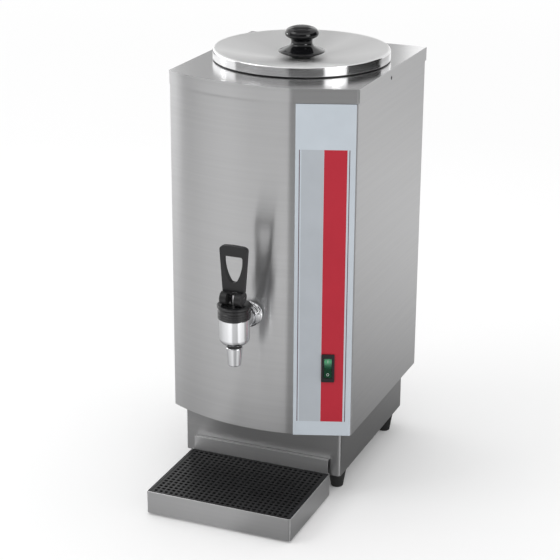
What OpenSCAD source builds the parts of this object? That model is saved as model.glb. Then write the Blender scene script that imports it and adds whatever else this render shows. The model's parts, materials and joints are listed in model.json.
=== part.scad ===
// Countertop milk warmer: a steel casing with a bowed front, a jacketed milk pot under a lift-off lid,
// a self-closing lever tap, a lighted rocker switch and a free-standing drip tray with a square grid.
// Millimetres, +Z up, origin on the counter under the middle of the outline, front towards -Y.

/* [Body] */
// Width over the top cover
body_w = 220; // [205:1:250]
// Depth from the front corners to the back
body_d = 227; // [222:1:260]
// Height of the top cover above the counter
body_h = 474.5; // [450:0.5:540]
// Bow of the front ahead of its corners
front_bow = 28; // [20:1:34]
// Width of the front that the flat label land takes
land_w = 63; // [55:1:70]
// Thickness of the folded sheet
sheet = 1; // [0.8:0.1:1.2]
// Gap between sheets that lie side by side
sheet_gap = 0.15; // [0.1:0.05:0.3]
// Height of the skirt round the top cover
skirt_h = 15.5; // [12:0.5:22]
// Height of the underside of the upper body
base_top = 79.5; // [70:0.5:90]
// Set-back of the joint between front and sides
seam_y = 2.6; // [2:0.1:6]

/* [Base] */
// Width of the plinth
base_w = 192; // [180:1:196]
// Set-back of the plinth behind the front corners
base_setback = 2; // [0:0.5:10]
// Set-back of the plinth at the rear
base_back = 9; // [8:0.5:14]
// Radius of the upright folds of the plinth
base_r = 4; // [2:0.5:8]
// Height of the rubber feet
foot_h = 24.5; // [22:0.5:34]
// Radius of a foot where it stands
foot_r = 7; // [6.5:0.5:10]
// Distance of the feet from the plinth sides
foot_in_x = 13; // [12:0.5:24]
// Distance of the feet from the plinth front and rear
foot_in_y = 26; // [18:1:40]

/* [Pot and lid] */
// Cover left showing beside the lid
lid_margin = 10.5; // [9:0.5:20]
// Height of the lid band
lid_h = 12.6; // [10:0.2:18]
// Depth of the dish in the lid
lid_dish = 11.5; // [4:0.1:12]
// Height of the lid knob
knob_h = 35; // [28:0.5:44]
// Radius of the knob cap
knob_r = 18.4; // [16:0.2:24]
// Step from the lid edge to the pot wall
pot_step = 9.5; // [8:0.5:14]
// Water gap round the pot
water_gap = 8; // [6:0.5:9]
// Height of water under the pot
water_depth = 33; // [28:1:40]

/* [Tap] */
// Height of the tap shank
tap_z = 220; // [205:1:235]
// Reach of the tap axis ahead of the front corners
tap_reach = 74.3; // [66:0.5:86]
// Radius of the tap body
tap_r = 16.6; // [16:0.2:18]
// Length of the spout below the shank
spout_l = 44; // [36:1:54]
// Height of the lever above its pin
lever_l = 57.6; // [50:0.5:70]
// Width of the lever at its top
lever_w = 31.5; // [29:0.5:36]
// Thickness of the lever
lever_t = 6; // [5:0.5:7]
// Turns of the return spring
spring_turns = 6; // [4:1:8]

/* [Label and switch] */
// Thickness of the label plate
label_t = 1.1; // [0.8:0.1:1.5]
// Place of the switch along the land
switch_x = 39; // [30:0.5:46]
// Height of the switch
switch_z = 160.5; // [135:0.5:200]
// Width of the switch bezel
bezel_w = 14.5; // [14:0.5:18]
// Height of the switch bezel
bezel_h = 33; // [32:0.5:40]
// Throw of the rocker between its two ends
rocker_throw = 18; // [14:1:20]

/* [Drip tray] */
// Width of the tray
tray_w = 172; // [150:1:186]
// Depth of the tray with its rear fold
tray_d = 124; // [110:1:140]
// Height of the tray rim above the counter
tray_top = 28.7; // [26:0.1:34]
// Height of the rear splash edge
splash_top = 44.5; // [40:0.5:52]
// Height of the tray pads
pad_h = 2.5; // [2:0.1:4]
// Pitch of the grid holes
grid_pitch = 6.2; // [5.8:0.1:8]
// Side of a grid hole
grid_hole = 3.7; // [3:0.1:4]
// Thickness of the grid
grid_t = 4; // [3:0.5:5]

/* [Hidden] */
$fn = 96;

steel_c = [0.74, 0.75, 0.76];
chrome_c = [0.86, 0.87, 0.88];
black_c = [0.05, 0.05, 0.055];
rubber_c = [0.09, 0.09, 0.09];
label_c = [0.75, 0.78, 0.81];
green_c = [0.16, 0.62, 0.3];
brass_c = [0.78, 0.62, 0.3];
white_c = [0.88, 0.88, 0.85];
silicone_c = [0.8, 0.78, 0.74];
wool_c = [0.72, 0.68, 0.55];
wire_c = [0.6, 0.3, 0.16];

big = 4 * body_d;
eps = 0.01;
weld = 0.1;
seat = 0.05;
rest_gap = 0.3;
half_w = body_w / 2;
cover_half = min(body_w, body_d) / 2;
land_x = half_w - land_w;
bow_r = (half_w * half_w + front_bow * front_bow) / (2 * front_bow);
bow_y = bow_r - front_bow;
land_y = bow_y - sqrt(bow_r * bow_r - land_x * land_x);
land_a = atan2(-land_y, half_w - land_x);
land_l = norm([half_w - land_x, land_y]);
casing_o = sheet + sheet_gap;
inner_o = casing_o + sheet;
return_o = inner_o + sheet_gap;
return_l = 16;
floor_o = return_o + sheet + sheet_gap;
floor_z = base_top + sheet;
floor_top = floor_z + sheet;
notch_r = 2.2;
seam_gap = 0.3;

base_d = body_d - base_setback - base_back;
base_y = base_setback + base_d / 2;
base_end = base_setback + base_d;
flange_w = base_back - casing_o - 0.9;
plate_in = sheet + 0.3;
foot_x = base_w / 2 - foot_in_x;
foot_y1 = base_setback + foot_in_y;
foot_y2 = base_end - foot_in_y;
foot_flare = 4;
m5_r = 2.4;
m5_head_r = 4.3;
foot_recess_r = m5_head_r + 0.3;
foot_recess_h = 12;
m5_head_h = 3;
m5_nut_r = 4.6;
m5_nut_h = 4;
lower_flange = foot_in_x - m5_nut_r - 0.4;
m4_r = 1.9;
m4_head_r = 3.5;
m4_head_h = 2.1;
screw_fit = 0.15;
base_screw_x = base_w / 2 - sheet - lower_flange / 2;
base_screw_dy = 56;
cover_screw_y = body_d * 0.453;
cover_screw_z = body_h - skirt_h * 0.62;
vent_w = 4;
vent_l = 52;
vent_n = 7;
vent_pitch = 11;

pot_y = body_d / 2;
lid_r = cover_half - lid_margin;
lid_wall = 1;
lid_z = body_h + rest_gap;
lid_top = lid_z + lid_h - rest_gap;
lid_edge = 2.4;
lid_flat = 16;
lid_rim = 4.5;
dish_r = lid_r - lid_rim;
dish_n = 18;
knob_z = lid_top - lid_dish;
washer_h = 0.8;
knob_bore = 14;
pot_ro = lid_r - pot_step;
pot_ri = pot_ro - sheet;
pot_bend = 9;
gasket_h = 1;
pot_rim_r = lid_r - lid_wall - 1.4;
pot_rim_z = body_h + gasket_h;
pipe_ro = 9;
pipe_ri = 6.5;
pot_z = tap_z - pot_bend - pipe_ri - 1.5;
tank_ri = pot_ro + water_gap;
tank_ro = tank_ri + sheet;
tank_z = pot_z - water_depth;
tank_top = body_h - sheet;
tank_lip = min(4, cover_half - floor_o - tank_ro);
tank_lip_h = 2;
wool_t = min(3.2, cover_half - floor_o - tank_ro - 0.6);
wool_gap = 0.3;
wool_cut = 15;
heater_r = 68;
heater_tube = 4;
heater_sleeve = 5;
heater_z = tank_z + sheet + 13;
heater_gap_a = 34;
heater_leg = 24;
heater_nut_r = 9.5;
heater_nut_h = 6;
stat_r = 8.5;
stat_h = 9;
stat_x = 36;
stat_ear = 16;
stat_ear_w = 9;
blade_w = 6.3;
blade_t = 0.8;
blade_l = 8;

shank_r = 9.5;
shank_fit = 0.1;
tap_y = -tap_reach;
fascia_out = casing_o - front_bow;
fascia_in = fascia_out + sheet;
seal_t = 1.2;
nut_t = 4;
nut_r = 16;
nut_gap = nut_r * nut_r / (2 * bow_r) + seat;
socket_y = fascia_in + nut_gap + nut_t + rest_gap;
socket_l = 20;
socket_r = 13.5;
shank_end = socket_y + socket_l - 5;
seal_end_t = 2.4;
collar_y = fascia_out - seat - seal_t;
collar_l = 12;
collar_r = 14;
grommet_ri = pipe_ro + shank_fit;
grommet_ro = 12.5;
grommet_l = 9;

spout_tip_r = 7.3;
spout_top_r = 8.9;
spout_top = -23.5;
spout_bore = 5;
bowl_z = -19;
bowl_bend = 7.4;
neck_z = 10.6;
neck_top = neck_z + 8;
neck_r = tap_r - 1;
bowl_ri = tap_r - 4;
bowl_floor = -17;
shank_bore = 5;
bonnet_r = tap_r + 1.3;
bonnet_z = neck_z + seat;
ring_n = 3;
ring_pitch = 2.8;
ring_cut = 0.6;
bonnet_waist = 0.9;
bonnet_disc = 22;
bonnet_disc_r = bonnet_r + 0.9;
bonnet_edge = 1.6;
bonnet_top = 27;
bonnet_cap_r = 10.5;
bonnet_roof = bonnet_top - 5;
stem_r = 3.9;
stem_fit = 0.3;
cam_r = 7;
cam_e = 6;
cam_gap = 0.3;
pin_z = bonnet_top + cam_r + cam_gap;
pin_r = 1.5;
pin_fit = 0.05;
stem_top = pin_z + 4;
cup_z = bowl_floor + seat;
cup_r = 8;
cup_h = 9;
stem_z = cup_z + 3;
coil_r = 6.6;
coil_wire = 0.8;
coil_z0 = cup_z + cup_h + coil_wire + seat;
coil_z1 = bonnet_roof - coil_wire - seat;
coil_seg = 14;
side_n = 6;
fork_in = 4.6;
fork_out = 12;
hub_r = 6;
lever_root_w = 24.6;
lever_root = 6.4;
lever_round = 4;
lever_rail = 4.9;
lever_bridge = 11.4;
finger_w = lever_w - 2 * lever_rail;
finger_z0 = 16.5;
finger_z1 = lever_l - lever_bridge;

bezel_t = 1.6;
switch_w = 11.2;
switch_l = 28;
switch_deep = 22;
cut_w = switch_w + 0.8;
cut_l = switch_l + 0.8;
rocker_w = 8.4;
rocker_r = 12;
rocker_fit = 0.3;
rocker_pivot = -3;
rocker_mid = 3.4;
rocker_end = 5.2;
rocker_low = 2.5;
trunnion_r = 1.4;
trunnion_l = 0.7;
label_in = 1;
label_out = 2.2;
label_z0 = base_top - 0.6;
label_z1 = body_h - skirt_h - 0.6;

hem_d = 4;
tray_r = 3;
tray_y1 = base_setback - rest_gap;
tray_y0 = tray_y1 - tray_d;
pan_d = tray_d - hem_d;
pan_y = tray_y0 + pan_d / 2;
grid_fit = 0.4;
grid_w = tray_w - 2 * (sheet + grid_fit);
grid_d = pan_d - 2 * (sheet + grid_fit);
grid_border = 3.6;
grid_nx = floor((grid_w - 2 * grid_border) / grid_pitch);
grid_ny = floor((grid_d - 2 * grid_border + grid_pitch - grid_hole) / grid_pitch);
grid_top = tray_top - 0.5;
grid_foot_r = 4;
tray_floor = pad_h + sheet;
pad_r = 6;
pad_in = 14;
y_mid = (body_d + tray_y0) / 2;

gland_x = -50;
gland_z = (foot_h + base_top) / 2;
gland_r = 7.5;
gland_hex = 10.5;
gland_flange = 3.5;
gland_cap = 4.5;
gland_bore = 3.8;
gland_in = 11;
gland_nut_t = 4;
block_x = -50;
block_y = body_d * 0.7;
block_w = 46;
block_d = 20;
block_h = 18;
block_n = 3;
wire_hole_r = 12;
wire_hole_x = -50;
wire_hole_y = body_d * 0.52;
lead_r = 1.4;
lead_seg = 5;
lead_gap = 0.8;

// Whole assembly shifted so that the outline is centred on the origin
module place() {
    translate([0, -y_mid, 0])
        children();
}

// Tap axis with its height measured from the shank
module at_tap() {
    place()
        translate([0, tap_y, tap_z])
            children();
}

// Flat land right of the bow: local x runs along the land and local y points into the body
module on_land() {
    translate([land_x, land_y, 0])
        rotate(land_a)
            children();
}

// Switch position: local z points out of the label and local y points up
module at_switch() {
    place()
        on_land()
            translate([switch_x, casing_o - label_t, switch_z])
                rotate([90, 0, 0])
                    children();
}

// Plan of the upper body, drawn a given distance inside the outer edge of the cover
module plan(o = 0) {
    intersection() {
        translate([-half_w + o, -front_bow - 1])
            square([body_w - 2 * o, body_d + front_bow + 1 - o]);
        translate([0, bow_y])
            circle(r = bow_r - o, $fn = 240);
        on_land()
            translate([-big / 2, o])
                square([big, big]);
    }
}

// Strip of the plan between two distances
module plan_strip(o1, o2) {
    difference() {
        plan(o1);
        plan(o2);
    }
}

// Turned-in lower edge of the upper body, cut clear of the plinth
module lower_edge() {
    difference() {
        plan_strip(casing_o, casing_o + flange_w);
        translate([0, base_y])
            rrect(base_w + 2 * rest_gap, base_d + 2 * rest_gap, base_r);
    }
}

// Everything behind a given y
module behind(y) {
    translate([-big / 2, y])
        square([big, big]);
}

// Everything ahead of a given y
module ahead(y) {
    translate([-big / 2, y - big])
        square([big, big]);
}

// Rectangle with round corners, centred
module rrect(w, d, r) {
    union() {
        square([w - 2 * r, d], center = true);
        square([w, d - 2 * r], center = true);
        for (sx = [-1, 1])
            for (sy = [-1, 1])
                translate([sx * (w / 2 - r), sy * (d / 2 - r)])
                    circle(r = r);
    }
}

// Rod along Y from one y to another
module rod_y(r, y0, y1) {
    translate([0, y0, 0])
        rotate([-90, 0, 0])
            cylinder(r = r, h = y1 - y0);
}

// Rod along X, centred
module rod_x(r, l) {
    rotate([0, 90, 0])
        cylinder(r = r, h = l, center = true);
}

// Pan-head screw, head on top, shank downwards from z = 0
module pan_screw(shank_r0, head_r0, head_h0, length) {
    translate([0, 0, -length])
        cylinder(r = shank_r0, h = length + eps);
    difference() {
        cylinder(r1 = head_r0, r2 = head_r0 * 0.86, h = head_h0);
        for (a = [0, 90])
            rotate(a)
                translate([0, 0, head_h0])
                    cube([head_r0 * 1.1, head_r0 * 0.24, head_h0 * 0.8], center = true);
    }
}

// Hexagon nut with a round bore
module hex_nut(r, h, bore) {
    difference() {
        cylinder(r = r, h = h, $fn = 6);
        translate([0, 0, -eps])
            cylinder(r = bore, h = h + 2 * eps);
    }
}

// Point on a smooth curve through four neighbours
function bend(a, b, c, d, t) = 0.5 * ((2 * b) + (c - a) * t + (2 * a - 5 * b + 4 * c - d) * t * t
    + (3 * b - a - 3 * c + d) * t * t * t);

// Smooth curve through a list of points
function smooth(p, n) = concat([for (i = [0 : len(p) - 2]) for (k = [0 : n - 1])
    bend(p[max(i - 1, 0)], p[i], p[i + 1], p[min(i + 2, len(p) - 1)], k / n)], [p[len(p) - 1]]);

// Heading of a path at one of its points
function heading(p, i) = let (h = p[min(i + 1, len(p) - 1)] - p[max(i - 1, 0)]) h / norm(h);

// Headings and side directions carried along a path without twist
function carry(p, i, u) = i == len(p) ? [] : let (d = heading(p, i), v = u - d * (u * d), w = v / norm(v))
    concat([[d, w]], carry(p, i + 1, w));

// Tube of a given radius swept along a list of points
module tube(path, r, sides) {
    n = len(path);
    f = carry(path, 0, [0.31, 0.17, 0.93]);
    pts = [for (i = [0 : n - 1]) for (k = [0 : sides - 1]) let (b = 360 * k / sides)
        path[i] + r * (cos(b) * f[i][1] + sin(b) * cross(f[i][0], f[i][1]))];
    skin = [for (i = [0 : n - 2]) for (k = [0 : sides - 1])
        let (a = i * sides + k, b = i * sides + (k + 1) % sides)
        [a, a + sides, b + sides, b]];
    first = [[for (k = [0 : sides - 1]) k]];
    last = [[for (k = [sides - 1 : -1 : 0]) (n - 1) * sides + k]];
    polyhedron(points = pts, faces = concat(skin, first, last), convexity = 8);
}

// Arc of points round a centre
function arc(c, r, a0, a1, n) = [for (i = [0 : n]) let (a = a0 + (a1 - a0) * i / n) c + r * [cos(a), sin(a)]];

// Depth of the lid face below its rim at a radius
function dish(r) = lid_dish * (1 - pow(max(0, (r - lid_flat) / (dish_r - lid_flat)), 1.7));

// Sides and back of the casing in one folded sheet with a turned-in lower edge
module outer_casing() {
    color(steel_c)
        place()
            difference() {
                union() {
                    translate([0, 0, base_top])
                        linear_extrude(tank_top - base_top)
                            intersection() {
                                plan_strip(casing_o, inner_o);
                                behind(seam_y);
                            }
                    translate([0, 0, base_top])
                        linear_extrude(sheet)
                            intersection() {
                                lower_edge();
                                behind(seam_y);
                            }
                }
                translate([0, cover_screw_y, cover_screw_z])
                    rod_x(m4_r + screw_fit, body_w);
            }
}

// Bowed front with its flat land, side returns, lower fold, tap hole and switch window
module front_fascia() {
    color(steel_c)
        place()
            difference() {
                union() {
                    translate([0, 0, base_top])
                        linear_extrude(tank_top - base_top)
                            intersection() {
                                plan_strip(casing_o, inner_o);
                                ahead(seam_y - seam_gap);
                            }
                    translate([0, 0, base_top])
                        linear_extrude(sheet)
                            intersection() {
                                lower_edge();
                                ahead(seam_y - seam_gap);
                            }
                    translate([0, 0, floor_z])
                        linear_extrude(tank_top - floor_z)
                            intersection() {
                                difference() {
                                    plan(return_o);
                                    translate([-half_w + return_o + sheet, -big / 2])
                                        square([body_w - 2 * (return_o + sheet), big]);
                                }
                                ahead(seam_y + return_l);
                            }
                }
                translate([0, 0, tap_z])
                    rod_y(shank_r + rest_gap, -2 * front_bow, 0);
                on_land()
                    translate([switch_x - cut_w / 2, -sheet, switch_z - cut_l / 2])
                        cube([cut_w, 3 * sheet + inner_o, cut_l]);
            }
}

// Cover with a skirt, open corners at the front folds and a round mouth for the pot
module top_cover() {
    color(steel_c)
        place()
            difference() {
                union() {
                    translate([0, 0, body_h - sheet])
                        linear_extrude(sheet)
                            plan(0);
                    translate([0, 0, body_h - skirt_h])
                        linear_extrude(skirt_h - sheet / 2)
                            difference() {
                                plan_strip(0, sheet);
                                for (s = [-1, 1])
                                    translate([s * half_w, 0])
                                        circle(r = notch_r);
                            }
                }
                translate([0, pot_y, body_h - 2 * sheet])
                    cylinder(r = pot_ro + 0.6, h = 4 * sheet);
                translate([0, cover_screw_y, cover_screw_z])
                    rod_x(m4_r + 2 * screw_fit, 2 * body_w);
            }
}

// Plate closing the underside of the upper body
module casing_floor() {
    color(steel_c)
        place()
            translate([0, 0, floor_z])
                linear_extrude(sheet)
                    difference() {
                        plan(floor_o);
                        translate([wire_hole_x, wire_hole_y])
                            circle(r = wire_hole_r);
                    }
}

// Set-back plinth folded from sheet with a turned-in lower edge
module base_shell() {
    color(steel_c)
        place()
            difference() {
                union() {
                    translate([0, base_y, foot_h])
                        linear_extrude(floor_z - foot_h)
                            difference() {
                                rrect(base_w, base_d, base_r);
                                rrect(base_w - 2 * sheet, base_d - 2 * sheet, base_r - sheet);
                            }
                    translate([0, base_y, foot_h + sheet])
                        linear_extrude(sheet)
                            difference() {
                                rrect(base_w - sheet, base_d - sheet, base_r - sheet / 2);
                                square([base_w - 2 * lower_flange, base_d - 2 * lower_flange], center = true);
                            }
                }
                translate([gland_x, 0, gland_z])
                    rod_y(gland_r + screw_fit, base_end - 2 * sheet, base_end + sheet);
                for (sx = [-1, 1])
                    for (sy = [-1, 1])
                        translate([sx * base_screw_x, base_y + sy * base_screw_dy, foot_h])
                            cylinder(r = m4_r + screw_fit, h = 3 * sheet);
            }
}

// Removable bottom plate with air slots
module base_plate() {
    color(steel_c)
        place()
            translate([0, base_y, foot_h])
                linear_extrude(sheet)
                    difference() {
                        rrect(base_w - 2 * plate_in, base_d - 2 * plate_in, base_r - sheet);
                        for (sx = [-1, 1])
                            for (i = [0 : vent_n - 1])
                                translate([sx * vent_l * 0.66, (i - (vent_n - 1) / 2) * vent_pitch])
                                    square([vent_l, vent_w], center = true);
                        for (sx = [-1, 1])
                            for (sy = [-1, 1]) {
                                translate([sx * base_screw_x, sy * base_screw_dy])
                                    circle(r = m4_r + screw_fit);
                                translate([sx * foot_x, sy * (foot_y2 - foot_y1) / 2])
                                    circle(r = m5_r + screw_fit);
                            }
                    }
}

// The four places of the feet
module each_foot() {
    place()
        for (sx = [-1, 1])
            for (y = [foot_y1, foot_y2])
                translate([sx * foot_x, y, 0])
                    children();
}

// Tapered feet with a recess for the screw
module rubber_feet() {
    color(rubber_c)
        each_foot()
            difference() {
                cylinder(r1 = foot_r, r2 = foot_r + foot_flare, h = foot_h);
                translate([0, 0, -eps])
                    cylinder(r = foot_recess_r, h = foot_recess_h + eps);
                cylinder(r = m5_r + screw_fit, h = foot_h + eps);
            }
}

// Screws up through the feet
module foot_screws() {
    color(chrome_c)
        each_foot()
            translate([0, 0, foot_recess_h])
                rotate([180, 0, 0])
                    pan_screw(m5_r, m5_head_r, m5_head_h, foot_h - foot_recess_h + sheet + m5_nut_h + 2);
}

// Nuts of the foot screws
module foot_nuts() {
    color(chrome_c)
        each_foot()
            translate([0, 0, foot_h + sheet])
                hex_nut(m5_nut_r, m5_nut_h, m5_r + screw_fit / 2);
}

// Screws of the bottom plate
module base_screws() {
    color(chrome_c)
        place()
            for (sx = [-1, 1])
                for (sy = [-1, 1])
                    translate([sx * base_screw_x, base_y + sy * base_screw_dy, foot_h])
                        rotate([180, 0, 0])
                            pan_screw(m4_r, m4_head_r, m4_head_h, 2 * sheet + 5);
}

// Screws through the cover skirt, one a side
module cover_screws() {
    color(chrome_c)
        place()
            for (s = [-1, 1])
                translate([s * half_w, cover_screw_y, cover_screw_z])
                    rotate([0, s * 90, 0])
                        translate([0, 0, -m4_head_h * 0.9])
                            pan_screw(m4_r, m4_head_r * 0.55, m4_head_h * 0.9, 2 * sheet + 3);
}

// Printed plate on the flat land, from the plinth fold to the cover skirt
module label_plate() {
    color(label_c)
        place()
            on_land()
                difference() {
                    translate([label_in, casing_o - label_t, label_z0])
                        cube([land_l - label_in - label_out, label_t, label_z1 - label_z0]);
                    translate([switch_x - cut_w / 2, -label_t, switch_z - cut_l / 2])
                        cube([cut_w, 4 * label_t, cut_l]);
                }
}

// Snap-in switch body with a round pocket for the rocker
module switch_housing() {
    color(black_c)
        at_switch()
            difference() {
                union() {
                    linear_extrude(bezel_t)
                        rrect(bezel_w, bezel_h, 1.2);
                    translate([-switch_w / 2, -switch_l / 2, -switch_deep])
                        cube([switch_w, switch_l, switch_deep + eps]);
                }
                translate([0, 0, rocker_pivot]) {
                    rod_x(rocker_r + rocker_fit, rocker_w + 2 * rocker_fit);
                    rod_x(trunnion_r + pin_fit, rocker_w + 2 * (trunnion_l + rocker_fit));
                }
            }
}

// Flat blades at the back of the switch
module switch_blades() {
    color(brass_c)
        at_switch()
            for (i = [-1, 0, 1])
                translate([-blade_w / 2, i * 9 - blade_t / 2, -switch_deep - blade_l])
                    cube([blade_w, blade_t, blade_l]);
}

// Lighted rocker, tipped to one end of its throw
module switch_rocker() {
    reach = rocker_r + 1;
    color(green_c)
        at_switch()
            translate([0, 0, rocker_pivot])
                rotate([-rocker_throw / 2, 0, 0]) {
                    intersection() {
                        rod_x(rocker_r, rocker_w);
                        rotate([90, 0, 90])
                            linear_extrude(rocker_w, center = true)
                                polygon([[-reach, -rocker_low], [reach, -rocker_low], [reach, rocker_end],
                                    [0, rocker_mid], [-reach, rocker_end]]);
                    }
                    rod_x(trunnion_r, rocker_w + 2 * trunnion_l);
                }
}

// Spun lid with a dished face, a rolled edge and a straight band
module lid_pan() {
    hole_r = m5_r + screw_fit;
    face = [for (i = [0 : dish_n]) let (r = dish_r + (hole_r - dish_r) * i / dish_n) [r, lid_top - dish(r)]];
    back = [for (i = [dish_n : -1 : 0]) face[i] - [0, lid_wall]];
    edge = arc([lid_r - lid_edge, lid_top - lid_edge], lid_edge, 0, 90, 6);
    edge_in = arc([lid_r - lid_edge, lid_top - lid_edge], lid_edge - lid_wall, 90, 0, 4);
    color(steel_c)
        place()
            translate([0, pot_y, 0])
                rotate_extrude()
                    polygon(concat([[lid_r, lid_z]], edge, face, back, edge_in, [[lid_r - lid_wall, lid_z]]));
}

// Turned knob: foot, lens-shaped flange, neck and domed cap
module lid_knob() {
    k = knob_h / 35;
    w = knob_r / 20;
    line = smooth([[13 * w, 0], [21 * w, 3.2 * k], [27 * w, 5.6 * k], [27.2 * w, 7.2 * k], [21 * w, 9.8 * k],
        [14 * w, 13.4 * k], [12.6 * w, 17.2 * k], [14 * w, 20.6 * k], [19 * w, 23.6 * k], [20 * w, 27.2 * k],
        [17.4 * w, 31.4 * k], [10 * w, 34.2 * k], [3 * w, 35 * k]], 4);
    color(black_c)
        place()
            translate([0, pot_y, knob_z + washer_h])
                difference() {
                    rotate_extrude()
                        polygon(concat([[0, 0]], line, [[0, knob_h]]));
                    translate([0, 0, -eps])
                        cylinder(r = m5_r + screw_fit, h = knob_bore);
                }
}

// Fibre washer under the knob
module knob_washer() {
    color(black_c)
        place()
            translate([0, pot_y, knob_z])
                difference() {
                    cylinder(r = 12 * knob_r / 20, h = washer_h);
                    translate([0, 0, -eps])
                        cylinder(r = m5_r + screw_fit, h = 2 * washer_h);
                }
}

// Screw that holds the knob from under the lid
module knob_screw() {
    color(chrome_c)
        place()
            translate([0, pot_y, knob_z - lid_wall])
                rotate([180, 0, 0])
                    pan_screw(m5_r, m5_head_r, m5_head_h, lid_wall + washer_h + knob_bore - 3);
}

// Deep-drawn pot hung by its rim, with a rounded foot and an outlet in its front wall
module milk_pot() {
    outer = arc([pot_ro - pot_bend, pot_z + pot_bend], pot_bend, -90, 0, 8);
    inner = arc([pot_ro - pot_bend, pot_z + pot_bend], pot_bend - sheet, 0, -90, 8);
    color(steel_c)
        place()
            difference() {
                translate([0, pot_y, 0])
                    rotate_extrude()
                        polygon(concat([[0, pot_z]], outer, [[pot_ro, pot_rim_z], [pot_rim_r, pot_rim_z],
                            [pot_rim_r, pot_rim_z + sheet], [pot_ri, pot_rim_z + sheet]], inner,
                            [[0, pot_z + sheet]]));
                translate([0, 0, tap_z])
                    rod_y(pipe_ro + weld, pot_y - tank_ro, pot_y - pot_ro / 2);
            }
}

// Silicone ring between the pot rim and the cover
module pot_gasket() {
    color(silicone_c)
        place()
            translate([0, pot_y, body_h])
                difference() {
                    cylinder(r = pot_rim_r - 0.6, h = gasket_h);
                    translate([0, 0, -eps])
                        cylinder(r = pot_ro + 0.9, h = 2 * gasket_h);
                }
}

// Water tank round the pot, hung under the cover
module water_tank() {
    color(steel_c)
        place()
            difference() {
                translate([0, pot_y, 0])
                    rotate_extrude()
                        polygon([[0, tank_z], [tank_ro, tank_z], [tank_ro, tank_top - tank_lip_h],
                            [tank_ro + tank_lip, tank_top - tank_lip_h], [tank_ro + tank_lip, tank_top],
                            [tank_ri, tank_top], [tank_ri, tank_z + sheet], [0, tank_z + sheet]]);
                translate([0, 0, tap_z])
                    rod_y(grommet_ro + weld, pot_y - tank_ro - 2, pot_y - pot_ro);
                each_heater_leg()
                    translate([0, 0, tank_z - sheet])
                        cylinder(r = heater_sleeve + weld, h = 4 * sheet);
            }
}

// Wool blanket round the tank
module insulation_wrap() {
    color(wool_c)
        place()
            difference() {
                translate([0, pot_y, tank_z + 6])
                    difference() {
                        cylinder(r = tank_ro + wool_gap + wool_t, h = tank_top - tank_z - 14);
                        translate([0, 0, -eps])
                            cylinder(r = tank_ro + wool_gap, h = tank_top - tank_z);
                    }
                translate([0, 0, tap_z])
                    rod_y(wool_cut, pot_y - tank_ro - 3 * wool_t, pot_y - pot_ro / 2);
            }
}

// The two places of the heater legs
module each_heater_leg() {
    translate([0, pot_y, 0])
        for (s = [-1, 1])
            rotate(90 + s * heater_gap_a / 2)
                translate([heater_r, 0, 0])
                    children();
}

// Ring heater in the water with two legs down through the tank floor
module heating_element() {
    color(chrome_c)
        place() {
            translate([0, pot_y, heater_z])
                rotate(90 + heater_gap_a / 2)
                    rotate_extrude(angle = 360 - heater_gap_a)
                        translate([heater_r, 0])
                            circle(r = heater_tube, $fn = 48);
            each_heater_leg() {
                translate([0, 0, tank_z - heater_leg])
                    cylinder(r = heater_sleeve, h = heater_z - tank_z + heater_leg + heater_sleeve);
                translate([0, 0, tank_z - heater_leg - blade_l])
                    translate([-blade_w / 2, -blade_t / 2, 0])
                        cube([blade_w, blade_t, blade_l + eps]);
            }
        }
}

// Nuts that clamp the heater legs under the tank
module heater_nuts() {
    color(brass_c)
        place()
            each_heater_leg()
                translate([0, 0, tank_z - heater_nut_h])
                    hex_nut(heater_nut_r, heater_nut_h, heater_sleeve + weld);
}

// Disc thermostat body with ears and blades, hung below z = 0
module stat_shape() {
    translate([0, 0, -stat_h])
        cylinder(r = stat_r, h = stat_h);
    translate([-stat_ear, -stat_ear_w / 2, -1.5])
        cube([2 * stat_ear, stat_ear_w, 1.5]);
    for (s = [-1, 1])
        translate([-blade_w / 2, s * stat_r * 0.6 - blade_t / 2, -stat_h - blade_l])
            cube([blade_w, blade_t, blade_l + eps]);
}

// Working thermostat under the tank floor
module thermostat() {
    color(white_c)
        place()
            translate([-stat_x, pot_y, tank_z])
                stat_shape();
}

// Safety cut-out under the tank floor with its reset button
module safety_cutout() {
    color(white_c)
        place()
            translate([stat_x, pot_y, tank_z]) {
                stat_shape();
                translate([0, 0, -stat_h - 4])
                    cylinder(r = 2.5, h = 5);
            }
}

// Outlet pipe from the pot with a socket for the tap shank
module outlet_pipe() {
    color(steel_c)
        place()
            translate([0, 0, tap_z])
                difference() {
                    union() {
                        rod_y(pipe_ro, socket_y + socket_l - eps, pot_y - pot_ro + 1.2);
                        rod_y(socket_r, socket_y, socket_y + socket_l + 2);
                    }
                    rod_y(pipe_ri, socket_y, pot_y);
                    rod_y(shank_r + shank_fit, socket_y - 1, socket_y + socket_l);
                }
}

// Rubber ring where the pipe leaves the tank
module pipe_grommet() {
    color(rubber_c)
        place()
            translate([0, pot_y - tank_ro, tap_z])
                difference() {
                    rod_y(grommet_ro, -grommet_l / 2, grommet_l / 2);
                    rod_y(grommet_ri, -grommet_l, grommet_l);
                }
}

// Flat ring at the end of the shank
module outlet_seal() {
    color(silicone_c)
        place()
            translate([0, 0, tap_z])
                difference() {
                    rod_y(shank_r - 0.3, shank_end + seat, shank_end + seat + seal_end_t);
                    rod_y(pipe_ri, shank_end - 1, shank_end + 2 * seal_end_t);
                }
}

// Nut that pulls the shank against the front
module shank_nut() {
    color(brass_c)
        place()
            translate([0, fascia_in + nut_gap, tap_z])
                rotate([-90, 0, 0])
                    hex_nut(nut_r, nut_t, shank_r + shank_fit);
}

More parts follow.
